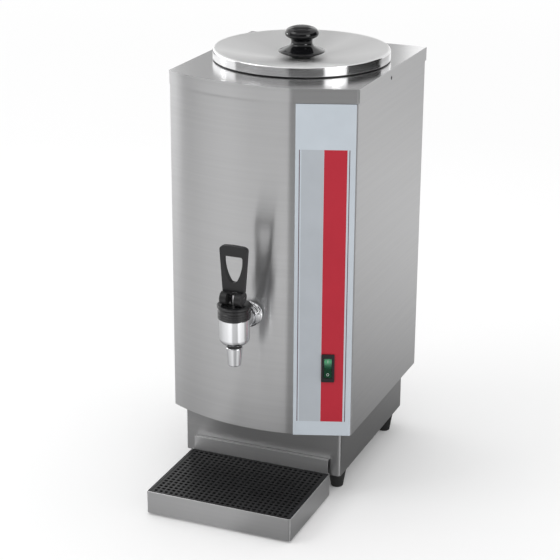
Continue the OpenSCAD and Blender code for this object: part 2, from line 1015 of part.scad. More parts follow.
// Stepped collar on the shank against the front
module tap_collar() {
    bore_r = shank_r + shank_fit;
    color(chrome_c)
        place()
            translate([0, collar_y, tap_z])
                rotate([90, 0, 0])
                    rotate_extrude()
                        polygon([[bore_r, 0], [collar_r, 0], [collar_r, 3.2], [collar_r - 1.6, 4.2],
                            [collar_r - 1.6, 5.4], [collar_r - 0.4, 6], [collar_r - 0.4, 8.4],
                            [collar_r - 2.2, 9.2], [collar_r - 2.2, collar_l], [bore_r, collar_l]]);
}

// Rubber ring between collar and front
module collar_seal() {
    color(rubber_c)
        place()
            translate([0, collar_y, tap_z])
                difference() {
                    rod_y(collar_r - 1.5, 0, seal_t);
                    rod_y(shank_r + shank_fit, -seal_t, 2 * seal_t);
                }
}

// Cast tap: tapered spout, round bowl, threaded neck and shank in one piece
module tap_body() {
    bowl = arc([tap_r - bowl_bend, bowl_z + bowl_bend], bowl_bend, -90, 0, 8);
    color(chrome_c)
        at_tap()
            difference() {
                union() {
                    rotate_extrude()
                        polygon(concat(
                            [[0, -spout_l], [spout_tip_r - 0.8, -spout_l], [spout_tip_r, -spout_l + 0.8]],
                            [[spout_top_r, spout_top], [spout_top_r - 0.9, spout_top + 0.6]],
                            [[spout_top_r - 0.9, bowl_z - 1.6], [spout_top_r + 0.2, bowl_z]], bowl,
                            [[tap_r, neck_z - 0.6], [tap_r - 0.6, neck_z], [neck_r, neck_z]],
                            [[neck_r, neck_top], [0, neck_top]]));
                    rod_y(shank_r, 0, shank_end - tap_y);
                }
                translate([0, 0, -spout_l - 1])
                    cylinder(r = spout_bore, h = spout_l);
                translate([0, 0, bowl_floor])
                    cylinder(r = bowl_ri, h = neck_top - bowl_floor + 1);
                rod_y(shank_bore, 0, shank_end - tap_y + 1);
            }
}

// Bonnet that screws on the neck, with ringed sides under a round disc that the cams run on
module tap_bonnet() {
    ring = [[-ring_cut, 0], [0, ring_cut], [0, ring_pitch - ring_cut]];
    rings = [for (i = [0 : ring_n - 1]) for (p = ring) [bonnet_r, bonnet_z + i * ring_pitch] + p];
    rings_top = bonnet_z + ring_n * ring_pitch;
    waist_r = bonnet_r - bonnet_waist;
    disc = [[bonnet_disc_r - bonnet_edge, bonnet_disc], [bonnet_disc_r, bonnet_disc + bonnet_edge]];
    cap = smooth([[bonnet_disc_r, bonnet_top - bonnet_edge], [bonnet_disc_r - bonnet_edge, bonnet_top - 0.6],
        [bonnet_cap_r + 3, bonnet_top - 0.1], [bonnet_cap_r, bonnet_top]], 4);
    color(black_c)
        at_tap()
            rotate_extrude()
                polygon(concat([[neck_r + shank_fit, bonnet_z]], rings,
                    [[bonnet_r - ring_cut, rings_top], [waist_r, rings_top + 0.2], [waist_r, bonnet_disc]],
                    disc, cap, [[stem_r + stem_fit, bonnet_top], [stem_r + stem_fit, bonnet_roof]],
                    [[bowl_ri, bonnet_roof], [bowl_ri, neck_top + seat]],
                    [[neck_r + shank_fit, neck_top + seat]]));
}

// Stem with a cross hole for the lever pin
module tap_stem() {
    color(chrome_c)
        at_tap()
            difference() {
                union() {
                    translate([0, 0, stem_z])
                        cylinder(r = stem_r, h = stem_top - stem_z - 1);
                    translate([0, 0, stem_top - 1 - eps])
                        cylinder(r1 = stem_r, r2 = stem_r - 1, h = 1);
                }
                translate([0, 0, pin_z])
                    rod_x(pin_r + pin_fit, 4 * stem_r);
            }
}

// Soft cup that closes the spout
module seat_cup() {
    color(silicone_c)
        at_tap()
            difference() {
                rotate_extrude()
                    polygon([[0, cup_z], [cup_r - 2, cup_z], [cup_r, cup_z + 2.4],
                        [cup_r, cup_z + cup_h - 1.2], [cup_r - 1.2, cup_z + cup_h], [0, cup_z + cup_h]]);
                translate([0, 0, stem_z - eps])
                    cylinder(r = stem_r + pin_fit, h = cup_h);
            }
}

// Return spring between the cup and the bonnet roof
module tap_spring() {
    n = spring_turns * coil_seg;
    color(chrome_c)
        at_tap()
            tube([for (i = [0 : n]) let (a = 360 * i / coil_seg, z = coil_z0 + (coil_z1 - coil_z0) * i / n)
                [coil_r * cos(a), coil_r * sin(a), z]], coil_wire, side_n);
}

// Cross pin through stem and fork
module lever_pin() {
    color(chrome_c)
        at_tap()
            translate([0, 0, pin_z])
                rod_x(pin_r, 2 * fork_out - 1);
}

// Outline of the lever paddle, wider at its top, with a crowned upper edge
module paddle_face() {
    w = lever_w / 2;
    v = lever_root_w / 2;
    crown = [for (i = [0 : 10]) let (x = w - lever_round - (2 * w - 2 * lever_round) * i / 10)
        [x, lever_l - 1.1 * pow(x / w, 2)]];
    polygon(concat([[-v, lever_root], [v, lever_root]],
        arc([w - lever_round, lever_l - lever_round - 0.8], lever_round, 0, 80, 5), crown,
        arc([-w + lever_round, lever_l - lever_round - 0.8], lever_round, 100, 180, 5)));
}

// Shield-shaped finger hole, straight across the top and round below
module finger_face() {
    h = finger_z1 - finger_z0;
    w = finger_w / 2;
    right = smooth([[0, finger_z0], [w * 0.36, finger_z0 + h * 0.06], [w * 0.74, finger_z0 + h * 0.34],
        [w * 0.96, finger_z0 + h * 0.66], [w, finger_z1 - h * 0.14], [w * 0.98, finger_z1 - h * 0.05],
        [w * 0.9, finger_z1]], 4);
    n = len(right);
    polygon(concat(right, [for (i = [n - 1 : -1 : 1]) [-right[i][0], right[i][1]]]));
}

// Lever: fork with two cams round the stem, and a flat paddle with a finger hole
module tap_lever() {
    color(black_c)
        at_tap()
            translate([0, 0, pin_z])
                difference() {
                    union() {
                        rod_x(hub_r, 2 * fork_out);
                        translate([0, -cam_e, 0])
                            rod_x(cam_r, 2 * fork_out);
                        translate([-fork_out, -lever_t / 2, 0])
                            cube([2 * fork_out, lever_t, lever_root + 1]);
                        rotate([90, 0, 0])
                            linear_extrude(lever_t, center = true)
                                difference() {
                                    paddle_face();
                                    finger_face();
                                }
                    }
                    translate([-fork_in, -4 * cam_r, -2 * cam_r])
                        cube([2 * fork_in, 8 * cam_r, 2 * cam_r + lever_root]);
                    rod_x(pin_r + pin_fit, 4 * fork_out);
                }
}

// Drip tray folded from sheet with a rear splash edge turned back to the plinth
module drip_tray() {
    color(steel_c)
        place() {
            translate([0, pan_y, pad_h])
                linear_extrude(sheet)
                    rrect(tray_w, pan_d, tray_r);
            translate([0, pan_y, pad_h])
                linear_extrude(tray_top - pad_h)
                    difference() {
                        rrect(tray_w, pan_d, tray_r);
                        rrect(tray_w - 2 * sheet, pan_d - 2 * sheet, tray_r - sheet);
                    }
            translate([-tray_w / 2 + tray_r, tray_y0 + pan_d - sheet, tray_top - sheet])
                cube([tray_w - 2 * tray_r, sheet, splash_top - tray_top + sheet]);
            translate([-tray_w / 2 + tray_r, tray_y0 + pan_d - sheet, splash_top - sheet])
                cube([tray_w - 2 * tray_r, hem_d + sheet, sheet]);
        }
}

// Pads that carry the tray on the counter
module tray_pads() {
    color(rubber_c)
        place()
            for (sx = [-1, 1])
                for (sy = [-1, 1])
                    translate([sx * (tray_w / 2 - pad_in), pan_y + sy * (pan_d / 2 - pad_in), 0])
                        cylinder(r1 = pad_r - 0.6, r2 = pad_r, h = pad_h);
}

// Grid with square holes
module drip_grid() {
    color(black_c)
        place()
            translate([0, pan_y, grid_top - grid_t])
                linear_extrude(grid_t)
                    difference() {
                        rrect(grid_w, grid_d, tray_r - sheet);
                        for (i = [0 : grid_nx - 1])
                            for (j = [0 : grid_ny - 1])
                                translate([i - (grid_nx - 1) / 2, j - (grid_ny - 1) / 2] * grid_pitch)
                                    square(grid_hole, center = true);
                    }
}

// Rubber feet of the grid with pegs pushed into its corner holes
module grid_feet() {
    foot_top = grid_top - grid_t;
    leg = foot_top - tray_floor - 2 * seat;
    dx = (grid_nx - 1) / 2 * grid_pitch;
    dy = (grid_ny - 1) / 2 * grid_pitch;
    color(rubber_c)
        place()
            for (sx = [-1, 1])
                for (sy = [-1, 1])
                    translate([sx * dx, pan_y + sy * dy, 0]) {
                        translate([0, 0, tray_floor + seat])
                            cylinder(r1 = grid_foot_r, r2 = grid_foot_r - 0.5, h = leg);
                        translate([0, 0, foot_top - 1])
                            cylinder(r = grid_hole / 2 - seat, h = grid_t - 1);
                    }
}

// Cable entry at the rear of the plinth, bored through
module cable_gland() {
    color(black_c)
        place()
            translate([gland_x, base_end, gland_z])
                difference() {
                    union() {
                        rod_y(gland_r, -gland_in, gland_flange);
                        rotate([-90, 0, 0])
                            cylinder(r = gland_hex, h = gland_flange, $fn = 6);
                        translate([0, gland_flange - eps, 0])
                            rotate([-90, 0, 0])
                                cylinder(r1 = gland_r + 1.4, r2 = gland_r - 1, h = gland_cap);
                    }
                    rod_y(gland_bore, -gland_in - 1, gland_flange + gland_cap + 1);
                }
}

// Nut of the cable entry
module gland_nut() {
    color(black_c)
        place()
            translate([gland_x, base_end - sheet - gland_nut_t, gland_z])
                rotate([-90, 0, 0])
                    hex_nut(gland_hex, gland_nut_t, gland_r + shank_fit);
}

// Terminal block on the casing floor
module terminal_block() {
    pole = block_w / block_n;
    color(white_c)
        place()
            translate([block_x, block_y, floor_top])
                difference() {
                    union() {
                        translate([-block_w / 2, -block_d / 2, 0])
                            cube([block_w, block_d, block_h * 0.55]);
                        for (i = [0 : block_n - 1])
                            translate([(i - (block_n - 1) / 2 - 0.4) * pole, -block_d / 2, 0])
                                cube([pole * 0.8, block_d, block_h]);
                    }
                    for (i = [0 : block_n - 1])
                        translate([(i - (block_n - 1) / 2) * pole, 0, 0]) {
                            translate([0, 0, block_h * 0.5])
                                rod_y(2.6, -block_d, block_d);
                            for (s = [-1, 1])
                                translate([0, s * block_d * 0.28, block_h * 0.5])
                                    cylinder(r = 2.2, h = block_h);
                        }
                }
}

// One lead along a smooth route
module lead(route) {
    tube(smooth(route, lead_seg), lead_r, side_n);
}

// Leads from the terminal block to the switch, the cut-outs and the heater
module wiring() {
    pole = block_w / block_n;
    zb = floor_top + block_h * 0.5;
    yf = block_y - block_d / 2 + 4;
    zt = tank_z - stat_h - blade_l - lead_gap;
    back = casing_o - label_t + switch_deep + blade_l + lead_gap;
    run = [-sin(land_a), cos(land_a), 0];
    sw = [land_x + cos(land_a) * switch_x, land_y + sin(land_a) * switch_x, switch_z] + back * run;
    low = [0, 0, -9];
    hx = heater_r * sin(heater_gap_a / 2);
    hy = pot_y + heater_r * cos(heater_gap_a / 2);
    hz = tank_z - heater_leg - blade_l - lead_gap;
    sy = stat_r * 0.6;
    color(wire_c)
        place() {
            lead([sw + low, sw + low + 12 * run, [60, 40, zb + 30], [0, 60, zb],
                [block_x + pole, yf - 24, zb], [block_x + pole, yf, zb]]);
            lead([sw, sw + 14 * run, [66, 50, zt - 20], [stat_x + 8, pot_y - sy - 10, zt - 16],
                [stat_x, pot_y - sy, zt - 8], [stat_x, pot_y - sy, zt]]);
            lead([[stat_x, pot_y + sy, zt], [stat_x, pot_y + sy, zt - 8], [0, pot_y + sy + 6, zt - 14],
                [-stat_x, pot_y + sy, zt - 8], [-stat_x, pot_y + sy, zt]]);
            lead([[-stat_x, pot_y - sy, zt], [-stat_x, pot_y - sy, zt - 8],
                [-stat_x - 26, pot_y + 20, zt - 12], [-hx - 14, hy - 6, hz - 14],
                [-hx, hy, hz - 8], [-hx, hy, hz]]);
            lead([[hx, hy, hz], [hx, hy, hz - 8], [hx - 10, hy - 6, hz - 30],
                [block_x + 6, yf - 30, zb + 6], [block_x, yf - 20, zb], [block_x, yf, zb]]);
        }
}

outer_casing();
front_fascia();
top_cover();
casing_floor();
base_shell();
base_plate();
rubber_feet();
foot_screws();
foot_nuts();
base_screws();
cover_screws();
label_plate();
switch_housing();
switch_blades();
switch_rocker();
lid_pan();
lid_knob();
knob_washer();
knob_screw();
milk_pot();
pot_gasket();
water_tank();
insulation_wrap();
heating_element();
heater_nuts();
thermostat();
safety_cutout();
outlet_pipe();
pipe_grommet();
outlet_seal();
shank_nut();
tap_collar();
collar_seal();
tap_body();
tap_bonnet();
tap_stem();
seat_cup();
tap_spring();
lever_pin();
tap_lever();
drip_tray();
tray_pads();
drip_grid();
grid_feet();
cable_gland();
gland_nut();
terminal_block();
wiring();
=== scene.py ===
# %% [markdown]
# # A countertop milk warmer, dressed in Blender
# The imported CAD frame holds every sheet, screw and seal of the warmer at its true size. This lesson
# gives those solids their finishes, and remodels the pieces whose soft edges catch the light: the spun
# lid, the turned knob, the cast tap, the lever, the folded sheets and the print on the front plate.

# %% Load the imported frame
import json
import math

import bmesh
import bpy
from mathutils import Matrix, Vector

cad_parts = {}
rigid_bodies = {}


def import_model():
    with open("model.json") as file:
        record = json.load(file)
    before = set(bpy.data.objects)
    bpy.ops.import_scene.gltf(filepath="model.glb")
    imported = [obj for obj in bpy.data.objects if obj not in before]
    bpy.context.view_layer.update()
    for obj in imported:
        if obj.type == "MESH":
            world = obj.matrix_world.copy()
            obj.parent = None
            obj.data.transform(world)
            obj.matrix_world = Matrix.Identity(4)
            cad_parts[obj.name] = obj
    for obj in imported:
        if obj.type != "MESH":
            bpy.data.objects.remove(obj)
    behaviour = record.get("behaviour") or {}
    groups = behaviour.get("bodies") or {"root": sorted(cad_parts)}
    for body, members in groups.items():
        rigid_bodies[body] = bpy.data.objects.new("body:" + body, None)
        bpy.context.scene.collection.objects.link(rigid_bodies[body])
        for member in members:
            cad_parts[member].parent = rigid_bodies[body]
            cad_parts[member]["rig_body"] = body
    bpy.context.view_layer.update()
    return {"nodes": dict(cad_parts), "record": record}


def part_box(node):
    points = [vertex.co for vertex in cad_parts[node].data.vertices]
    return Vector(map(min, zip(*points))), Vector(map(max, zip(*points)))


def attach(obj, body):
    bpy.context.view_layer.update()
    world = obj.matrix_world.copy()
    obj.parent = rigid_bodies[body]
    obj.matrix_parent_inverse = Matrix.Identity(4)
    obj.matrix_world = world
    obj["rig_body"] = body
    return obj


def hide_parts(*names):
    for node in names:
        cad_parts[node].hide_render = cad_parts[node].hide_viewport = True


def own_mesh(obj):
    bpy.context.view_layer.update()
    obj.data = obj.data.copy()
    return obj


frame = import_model()
nodes = frame["nodes"]
scene = bpy.context.scene
MM = 0.001

# %% [markdown]
# ## The camera
# The picture was taken from a little to the right of the front and well above the lid, with a long lens.
# A camera can be aimed with a constraint, but its three axes written out as a matrix keep the slight
# roll too, and leave nothing that could move later.

# %% Camera
CAMERA_PLACE = (0.6822, -1.65665, 0.8869)
CAMERA_AZIMUTH, CAMERA_PITCH, CAMERA_ROLL = (math.radians(v) for v in (22.366, 20.110, 0.33))
FOCAL_PX, FRAME_PX, SENSOR_MM = 1679.1, 560, 36.0
CLIP_NEAR, CLIP_FAR = 0.05, 50.0


def camera_matrix():
    level = math.cos(CAMERA_PITCH)
    back = Vector((math.sin(CAMERA_AZIMUTH) * level, -math.cos(CAMERA_AZIMUTH) * level,
                   math.sin(CAMERA_PITCH)))
    flat = Vector((math.cos(CAMERA_AZIMUTH), math.sin(CAMERA_AZIMUTH), 0))
    right = math.cos(CAMERA_ROLL) * flat + math.sin(CAMERA_ROLL) * back.cross(flat)
    turn = Matrix((right, back.cross(right), back)).transposed()
    return Matrix.Translation(CAMERA_PLACE) @ turn.to_4x4()


camera = bpy.data.objects.new("camera", bpy.data.cameras.new("camera"))
scene.collection.objects.link(camera)
camera.matrix_world = camera_matrix()
camera.data.sensor_width = SENSOR_MM
camera.data.lens = FOCAL_PX / FRAME_PX * SENSOR_MM
camera.data.clip_start, camera.data.clip_end = CLIP_NEAR, CLIP_FAR
scene.camera = camera
print("camera lens", round(camera.data.lens, 2), "mm")

# %% [markdown]
# ## The stage
# A product table is a white sweep under large soft lamps. The world and the floor are told to look
# white to the camera and to mirror rays, while the light that falls on the warmer stays at a plain
# level: the Light Path node separates the two.

# %% White world
WORLD_LIGHT = 0.97


def seen_rays(tree):
    """1 for camera, mirror and glass rays, 0 for the rays that light the scene."""
    path = tree.nodes.new("ShaderNodeLightPath")
    either = tree.nodes.new("ShaderNodeMath")
    either.operation = "ADD"
    seen = tree.nodes.new("ShaderNodeMath")
    seen.operation = "ADD"
    seen.use_clamp = True
    tree.links.new(path.outputs["Is Camera Ray"], either.inputs[0])
    tree.links.new(path.outputs["Is Glossy Ray"], either.inputs[1])
    tree.links.new(either.outputs[0], seen.inputs[0])
    tree.links.new(path.outputs["Is Transmission Ray"], seen.inputs[1])
    return seen.outputs[0]


world = bpy.data.worlds.new("white_studio")
scene.world = world
world.use_nodes = True
level = world.node_tree.nodes.new("ShaderNodeMath")
level.operation = "MULTIPLY_ADD"
level.inputs[1].default_value = 1 - WORLD_LIGHT
level.inputs[2].default_value = WORLD_LIGHT
world.node_tree.links.new(seen_rays(world.node_tree), level.inputs[0])
sky = world.node_tree.nodes["Background"]
sky.inputs["Color"].default_value = (1, 1, 1, 1)
world.node_tree.links.new(level.outputs[0], sky.inputs["Strength"])
print("world lights at", WORLD_LIGHT)

# %% [markdown]
# Paper on a product table looks even and almost white. A plain white floor would turn grey where the
# lamps reach it less, so this one adds a weak glow, but only for the rays that see it. The glow grows
# far out, where a real sweep of paper curves up to the light.

# %% Pale floor
FLOOR_HALF = 4.0
FLOOR_ALBEDO, FLOOR_GLOW, FAR_GLOW = 0.84, 0.07, 0.19
FADE_START, FADE_END = 1.5, 3.8


def floor_finish():
    mat = bpy.data.materials.new("pale_floor")
    mat.use_nodes = True
    tree = mat.node_tree
    tree.nodes.clear()
    paper = tree.nodes.new("ShaderNodeBsdfDiffuse")
    paper.inputs["Color"].default_value = (FLOOR_ALBEDO, FLOOR_ALBEDO, FLOOR_ALBEDO, 1)
    glow = tree.nodes.new("ShaderNodeEmission")
    share = tree.nodes.new("ShaderNodeMath")
    share.operation = "MULTIPLY"
    where = tree.nodes.new("ShaderNodeTexCoord")
    away = tree.nodes.new("ShaderNodeVectorMath")
    away.operation = "LENGTH"
    fade = tree.nodes.new("ShaderNodeMapRange")
    reach = {"From Min": FADE_START, "From Max": FADE_END, "To Min": FLOOR_GLOW, "To Max": FAR_GLOW}
    for key, value in reach.items():
        fade.inputs[key].default_value = value
    tree.links.new(where.outputs["Object"], away.inputs[0])
    tree.links.new(away.outputs["Value"], fade.inputs["Value"])
    tree.links.new(fade.outputs["Result"], share.inputs[1])
    both = tree.nodes.new("ShaderNodeAddShader")
    out = tree.nodes.new("ShaderNodeOutputMaterial")
    tree.links.new(seen_rays(tree), share.inputs[0])
    tree.links.new(share.outputs[0], glow.inputs["Strength"])
    tree.links.new(paper.outputs[0], both.inputs[0])
    tree.links.new(glow.outputs[0], both.inputs[1])
    tree.links.new(both.outputs[0], out.inputs["Surface"])
    return mat


def stage_object(name, bm, finish):
    mesh = bpy.data.meshes.new(name)
    bm.to_mesh(mesh)
    bm.free()
    obj = bpy.data.objects.new(name, mesh)
    scene.collection.objects.link(obj)
    mesh.materials.append(finish)
    return obj


bm = bmesh.new()
bmesh.ops.create_grid(bm, x_segments=1, y_segments=1, size=FLOOR_HALF)
stage_object("floor", bm, floor_finish())
print("floor", 2 * FLOOR_HALF, "m across")

# %% [markdown]
# Two large lamps shape the warmer: one at the left front, and one overhead that gives light but isn't
# mirrored. Point or sun lamps would do for brightness, but the size of an Area lamp sets how soft the
# edge of a shadow is.

# %% Soft lamps
KEY_PLACE, KEY_AIM, KEY_SIZE, KEY_WATTS = (-1.5, -1.1, 2.0), (0, 0, 0.25), (1.3, 1.3), 10
TOP_PLACE, TOP_AIM, TOP_SIZE, TOP_WATTS = (-0.2, 0.5, 2.4), (0, 0.05, 0.4), (1.6, 1.2), 7


def softbox(name, place, aim, size, watts):
    lamp = bpy.data.lights.new(name, "AREA")
    lamp.shape, lamp.energy = "RECTANGLE", watts
    lamp.size, lamp.size_y = size
    obj = bpy.data.objects.new(name, lamp)
    scene.collection.objects.link(obj)
    obj.location = place
    obj.rotation_euler = (Vector(aim) - Vector(place)).to_track_quat("-Z", "Y").to_euler()
    return obj


softbox("key_softbox", KEY_PLACE, KEY_AIM, KEY_SIZE, KEY_WATTS)
softbox("top_softbox", TOP_PLACE, TOP_AIM, TOP_SIZE, TOP_WATTS).visible_glossy = False

# %% [markdown]
# Bright steel only reads as steel when it has something to reflect, so a studio stands grey and black
# cards round the table. Flat planes could stand for them. A short line spun round the middle of the
# table gives a curved card instead, which covers just the azimuths it is given. Only mirror rays see it.

# %% Plain cards round the table
CARD_STEPS = 72
FAR_STRIP = [(1.27, 0.004), (1.5, 0.004), (1.55, 0.06), (1.55, 1.2)]
LAMP_STRIP, LAMP_GLOW = [(1.4, 0.46), (1.4, 0.6)], 14.0
PLAIN_CARDS = [
    ("card_dark_right", FAR_STRIP, 82, 143, 0.02),
    ("card_dark_lens", FAR_STRIP, 6, 52, 0.1),
    ("card_grey_left", FAR_STRIP, -72, 6, 0.38),
    ("card_grey_behind", [(1.55, 0.4), (1.55, 1.35)], 193, 211, 0.53),
    ("card_grey_above", [(1.55, 1.35), (1.55, 2.4)], 185, 220, 0.28),
    ("card_lamp_left", LAMP_STRIP, -104, -92, LAMP_GLOW),
    ("card_lamp_right", LAMP_STRIP, 62, 74, LAMP_GLOW),
    ("card_ceiling", [(0.0, 2.7), (1.5, 2.7)], -180, 180, 0.4),
]


def card_finish(name, strength=1.0):
    mat = bpy.data.materials.new(name)
    mat.use_nodes = True
    mat.node_tree.nodes.clear()
    glow = mat.node_tree.nodes.new("ShaderNodeEmission")
    glow.inputs["Strength"].default_value = strength
    out = mat.node_tree.nodes.new("ShaderNodeOutputMaterial")
    mat.node_tree.links.new(glow.outputs[0], out.inputs["Surface"])
    return mat


def spun_card(name, line, start, end, finish):
    """A card spun from a line of (radius, height) between two azimuths, from the front to the right."""
    bm = bmesh.new()
    a = math.radians(start)
    out = Vector((math.sin(a), -math.cos(a), 0))
    verts = [bm.verts.new(out * r + Vector((0, 0, z))) for r, z in line]
    edges = [bm.edges.new(pair) for pair in zip(verts, verts[1:])]
    bmesh.ops.spin(bm, geom=verts + edges, cent=(0, 0, 0), axis=(0, 0, 1), angle=math.radians(end - start),
                   steps=CARD_STEPS)
    obj = stage_object(name, bm, finish)
    obj.visible_camera = obj.visible_diffuse = obj.visible_transmission = obj.visible_shadow = False
    return obj


for name, line, start, end, strength in PLAIN_CARDS:
    spun_card(name, line, start, end, card_finish(name, strength))
print("plain cards", [card[0] for card in PLAIN_CARDS])

# %% [markdown]
# Low down the light changes from card to card without gaps. Many narrow cards could step it, but one
# ring with a ramp is easier to tune: a Radial gradient counts the way round, and each stop of the ramp
# sets the light at one azimuth.

# %% Ring of changing light
BAND_STRIP = [(1.45, 0.03), (1.45, 0.38)]
BAND_LEVELS = [(-180, 0.4), (-130, 0.36), (-116, 1.0), (-80, 1.05), (-70, 0.36), (-50, 0.31), (0, 0.36),
               (5, 0.03), (13, 0.03), (29, 0.16), (41, 0.36), (49, 0.6), (53, 1.4), (78, 1.3), (84, 0.05),
               (137, 0.02), (147, 0.5), (173, 0.55), (180, 0.45)]


def colour_ramp(tree, colours):
    """A ramp from 0 to 1 with a colour at each stop."""
    ramp = tree.nodes.new("ShaderNodeValToRGB")
    stops = ramp.color_ramp.elements
    for place, colour in colours:
        if place <= 0:
            stop = stops[0]
        elif place >= 1:
            stop = stops[-1]
        else:
            stop = stops.new(place)
        stop.color = (*colour, 1)
    return ramp


def level_ramp(tree, levels):
    """A ramp with a grey level at each stop."""
    return colour_ramp(tree, [(place, (level, level, level)) for place, level in levels])


def round_share(azimuth):
    """Where an azimuth in degrees lies on a ramp that runs once round from behind."""
    return (azimuth + 180) / 360


def ring_finish(name, levels):
    """Light that changes with the way round the table, counted in degrees from the front to the right."""
    mat = card_finish(name)
    tree = mat.node_tree
    where = tree.nodes.new("ShaderNodeTexCoord")
    turn = tree.nodes.new("ShaderNodeMapping")
    turn.inputs["Rotation"].default_value = (0, 0, math.pi / 2)
    round_way = tree.nodes.new("ShaderNodeTexGradient")
    round_way.gradient_type = "RADIAL"
    ramp = level_ramp(tree, [(round_share(azimuth), level) for azimuth, level in levels])
    tree.links.new(where.outputs["Object"], turn.inputs["Vector"])
    tree.links.new(turn.outputs[0], round_way.inputs[0])
    tree.links.new(round_way.outputs["Fac"], ramp.inputs[0])
    tree.links.new(ramp.outputs["Color"], tree.nodes["Emission"].inputs["Color"])
    return mat


spun_card("card_band", BAND_STRIP, -180, 180, ring_finish("card_band", BAND_LEVELS))
print("ring with", len(BAND_LEVELS), "stops")

# %% [markdown]
# The cove is the table and the far wall as the steel sees them, spun from a line that runs out along
# the table and up. It hides the floor from mirror rays, and the warmer's shade with it, so a second
# gradient darkens it again close to the warmer.

# %% Cove
COVE_LINE = [(0.01, 0.002), (0.34, 0.002), (1.5, 0.002), (1.6, 0.06), (1.6, 1.25)]
COVE_LEVELS = [(-180, 1.1), (-94, 1.1), (-80, 1.02), (-25, 1.02), (-12, 1.15), (2, 1.15), (10, 0.66),
               (38, 0.66), (44, 1.4), (87, 1.4), (94, 0.7), (168, 0.7), (180, 1.1)]
SHADE_LEVELS = [(0.2, 0.2), (0.3, 0.38), (0.39, 0.43), (0.5, 0.58), (0.8, 0.86), (1.4, 1.3)]
SHADE_PLACE, SHADE_SQUEEZE = (0, -0.09, 0), (1, 1.5, 1)


def cove_finish():
    mat = ring_finish("card_cove", COVE_LEVELS)
    tree = mat.node_tree
    where = tree.nodes["Texture Coordinate"]
    away = tree.nodes.new("ShaderNodeVectorMath")
    away.operation = "LENGTH"
    near, far = SHADE_LEVELS[0], SHADE_LEVELS[-1]
    reach = tree.nodes.new("ShaderNodeMath")
    reach.operation = "DIVIDE"
    reach.inputs[1].default_value = far[0]
    shade_ramp = level_ramp(tree, [(0.0, near[1])] + [(r / far[0], level) for r, level in SHADE_LEVELS])
    squeeze = tree.nodes.new("ShaderNodeMapping")
    squeeze.inputs["Location"].default_value = SHADE_PLACE
    squeeze.inputs["Scale"].default_value = SHADE_SQUEEZE
    tree.links.new(where.outputs["Object"], squeeze.inputs["Vector"])
    tree.links.new(squeeze.outputs[0], away.inputs[0])
    tree.links.new(away.outputs["Value"], reach.inputs[0])
    tree.links.new(reach.outputs[0], shade_ramp.inputs[0])
    tree.links.new(shade_ramp.outputs["Color"], tree.nodes["Emission"].inputs["Strength"])
    return mat


spun_card("card_cove", COVE_LINE, -180, 180, cove_finish())

# %% [markdown]
# ## Finishes
# Each finish starts from the Principled shader. What is the same all over sits on the shader's own
# sockets. Every finish needs the same few steps, so they are helpers: a new finish, a new node with its
# values, a link between two sockets, and a socket of the shader.

# %% Shader helpers


def new_finish(name, colour, rough, **sockets):
    mat = bpy.data.materials.new(name)
    mat.use_nodes = True
    shader = mat.node_tree.nodes["Principled BSDF"]
    shader.inputs["Base Color"].default_value = (*colour, 1)
    shader.inputs["Roughness"].default_value = rough
    for key, value in sockets.items():
        shader.inputs[key.replace("_", " ")].default_value = value
    mat.diffuse_color = (*colour, 1)
    return mat


def add(mat, kind, inputs=None, **settings):
    node = mat.node_tree.nodes.new("ShaderNode" + kind)
    for key, value in settings.items():
        setattr(node, key, value)
    for key, value in (inputs or {}).items():
        node.inputs[key].default_value = value
    return node


def join(mat, start, end):
    mat.node_tree.links.new(start, end)


def surface(mat, key):
    """A socket of the finish's own shader."""
    return mat.node_tree.nodes["Principled BSDF"].inputs[key]


print("helpers for finishes: new_finish, add, join, surface")

# %% [markdown]
# What varies over a piece, such as the grain of brushed sheet, the rings of a spun lid or the fine
# pebble of moulded plastic, could be painted on an unwrapped picture. Noise and Wave textures on Object
# coordinates need no unwrapping, stay fine at any distance, and move with their piece.

# %% Patterns
NOISE_LOW, NOISE_HIGH = 0.3, 0.7


def stretched(mat, scale, place=(0, 0, 0), turn=0.0):
    """Object coordinates, moved, turned about Z and stretched for a pattern."""
    where = add(mat, "TexCoord")
    mapping = add(mat, "Mapping", {"Location": place, "Rotation": (0, 0, turn), "Scale": scale})
    join(mat, where.outputs["Object"], mapping.inputs["Vector"])
    return mapping.outputs["Vector"]


def noise(mat, vector, detail=3.0, rough=0.55):
    """An even cloud pattern, whose grain is set by the stretch of its coordinates alone."""
    node = add(mat, "TexNoise", {"Scale": 1.0, "Detail": detail, "Roughness": rough})
    join(mat, vector, node.inputs["Vector"])
    return node.outputs["Fac"]


def vary(mat, fac, socket, low, high):
    """Drives a socket between two values by a pattern."""
    reach = add(mat, "MapRange", {"From Min": NOISE_LOW, "From Max": NOISE_HIGH,
                                  "To Min": low, "To Max": high})
    join(mat, fac, reach.inputs["Value"])
    join(mat, reach.outputs["Result"], surface(mat, socket))


def tint(mat, fac, dark, light):
    """Drives the base colour between two colours by a pattern."""
    ramp = add(mat, "ValToRGB")
    low, high = ramp.color_ramp.elements
    low.position, high.position = NOISE_LOW, NOISE_HIGH
    low.color, high.color = (*dark, 1), (*light, 1)
    join(mat, fac, ramp.inputs["Fac"])
    join(mat, ramp.outputs["Color"], surface(mat, "Base Color"))


def emboss(mat, fac, strength, depth_mm):
    """Lets a pattern stand out as a fine bump."""
    bump = add(mat, "Bump", {"Strength": strength, "Distance": depth_mm * MM})
    join(mat, fac, bump.inputs["Height"])
    join(mat, bump.outputs["Normal"], surface(mat, "Normal"))


def shade(colour, factor):
    return tuple(c * factor for c in colour)


print("patterns count from", NOISE_LOW, "to", NOISE_HIGH)

# %% [markdown]
# Brushed sheet is scratched one way, so it smears reflections across the scratches and keeps them
# sharp along them. The warmer's sheets are brushed level: the tap's mirror image in the front is a
# crisp-edged upright streak. Anisotropic shading does this, with the smear turned a quarter from
# Blender's default ring round the upright axis, and a noise stretched a hundredfold draws the scratches.

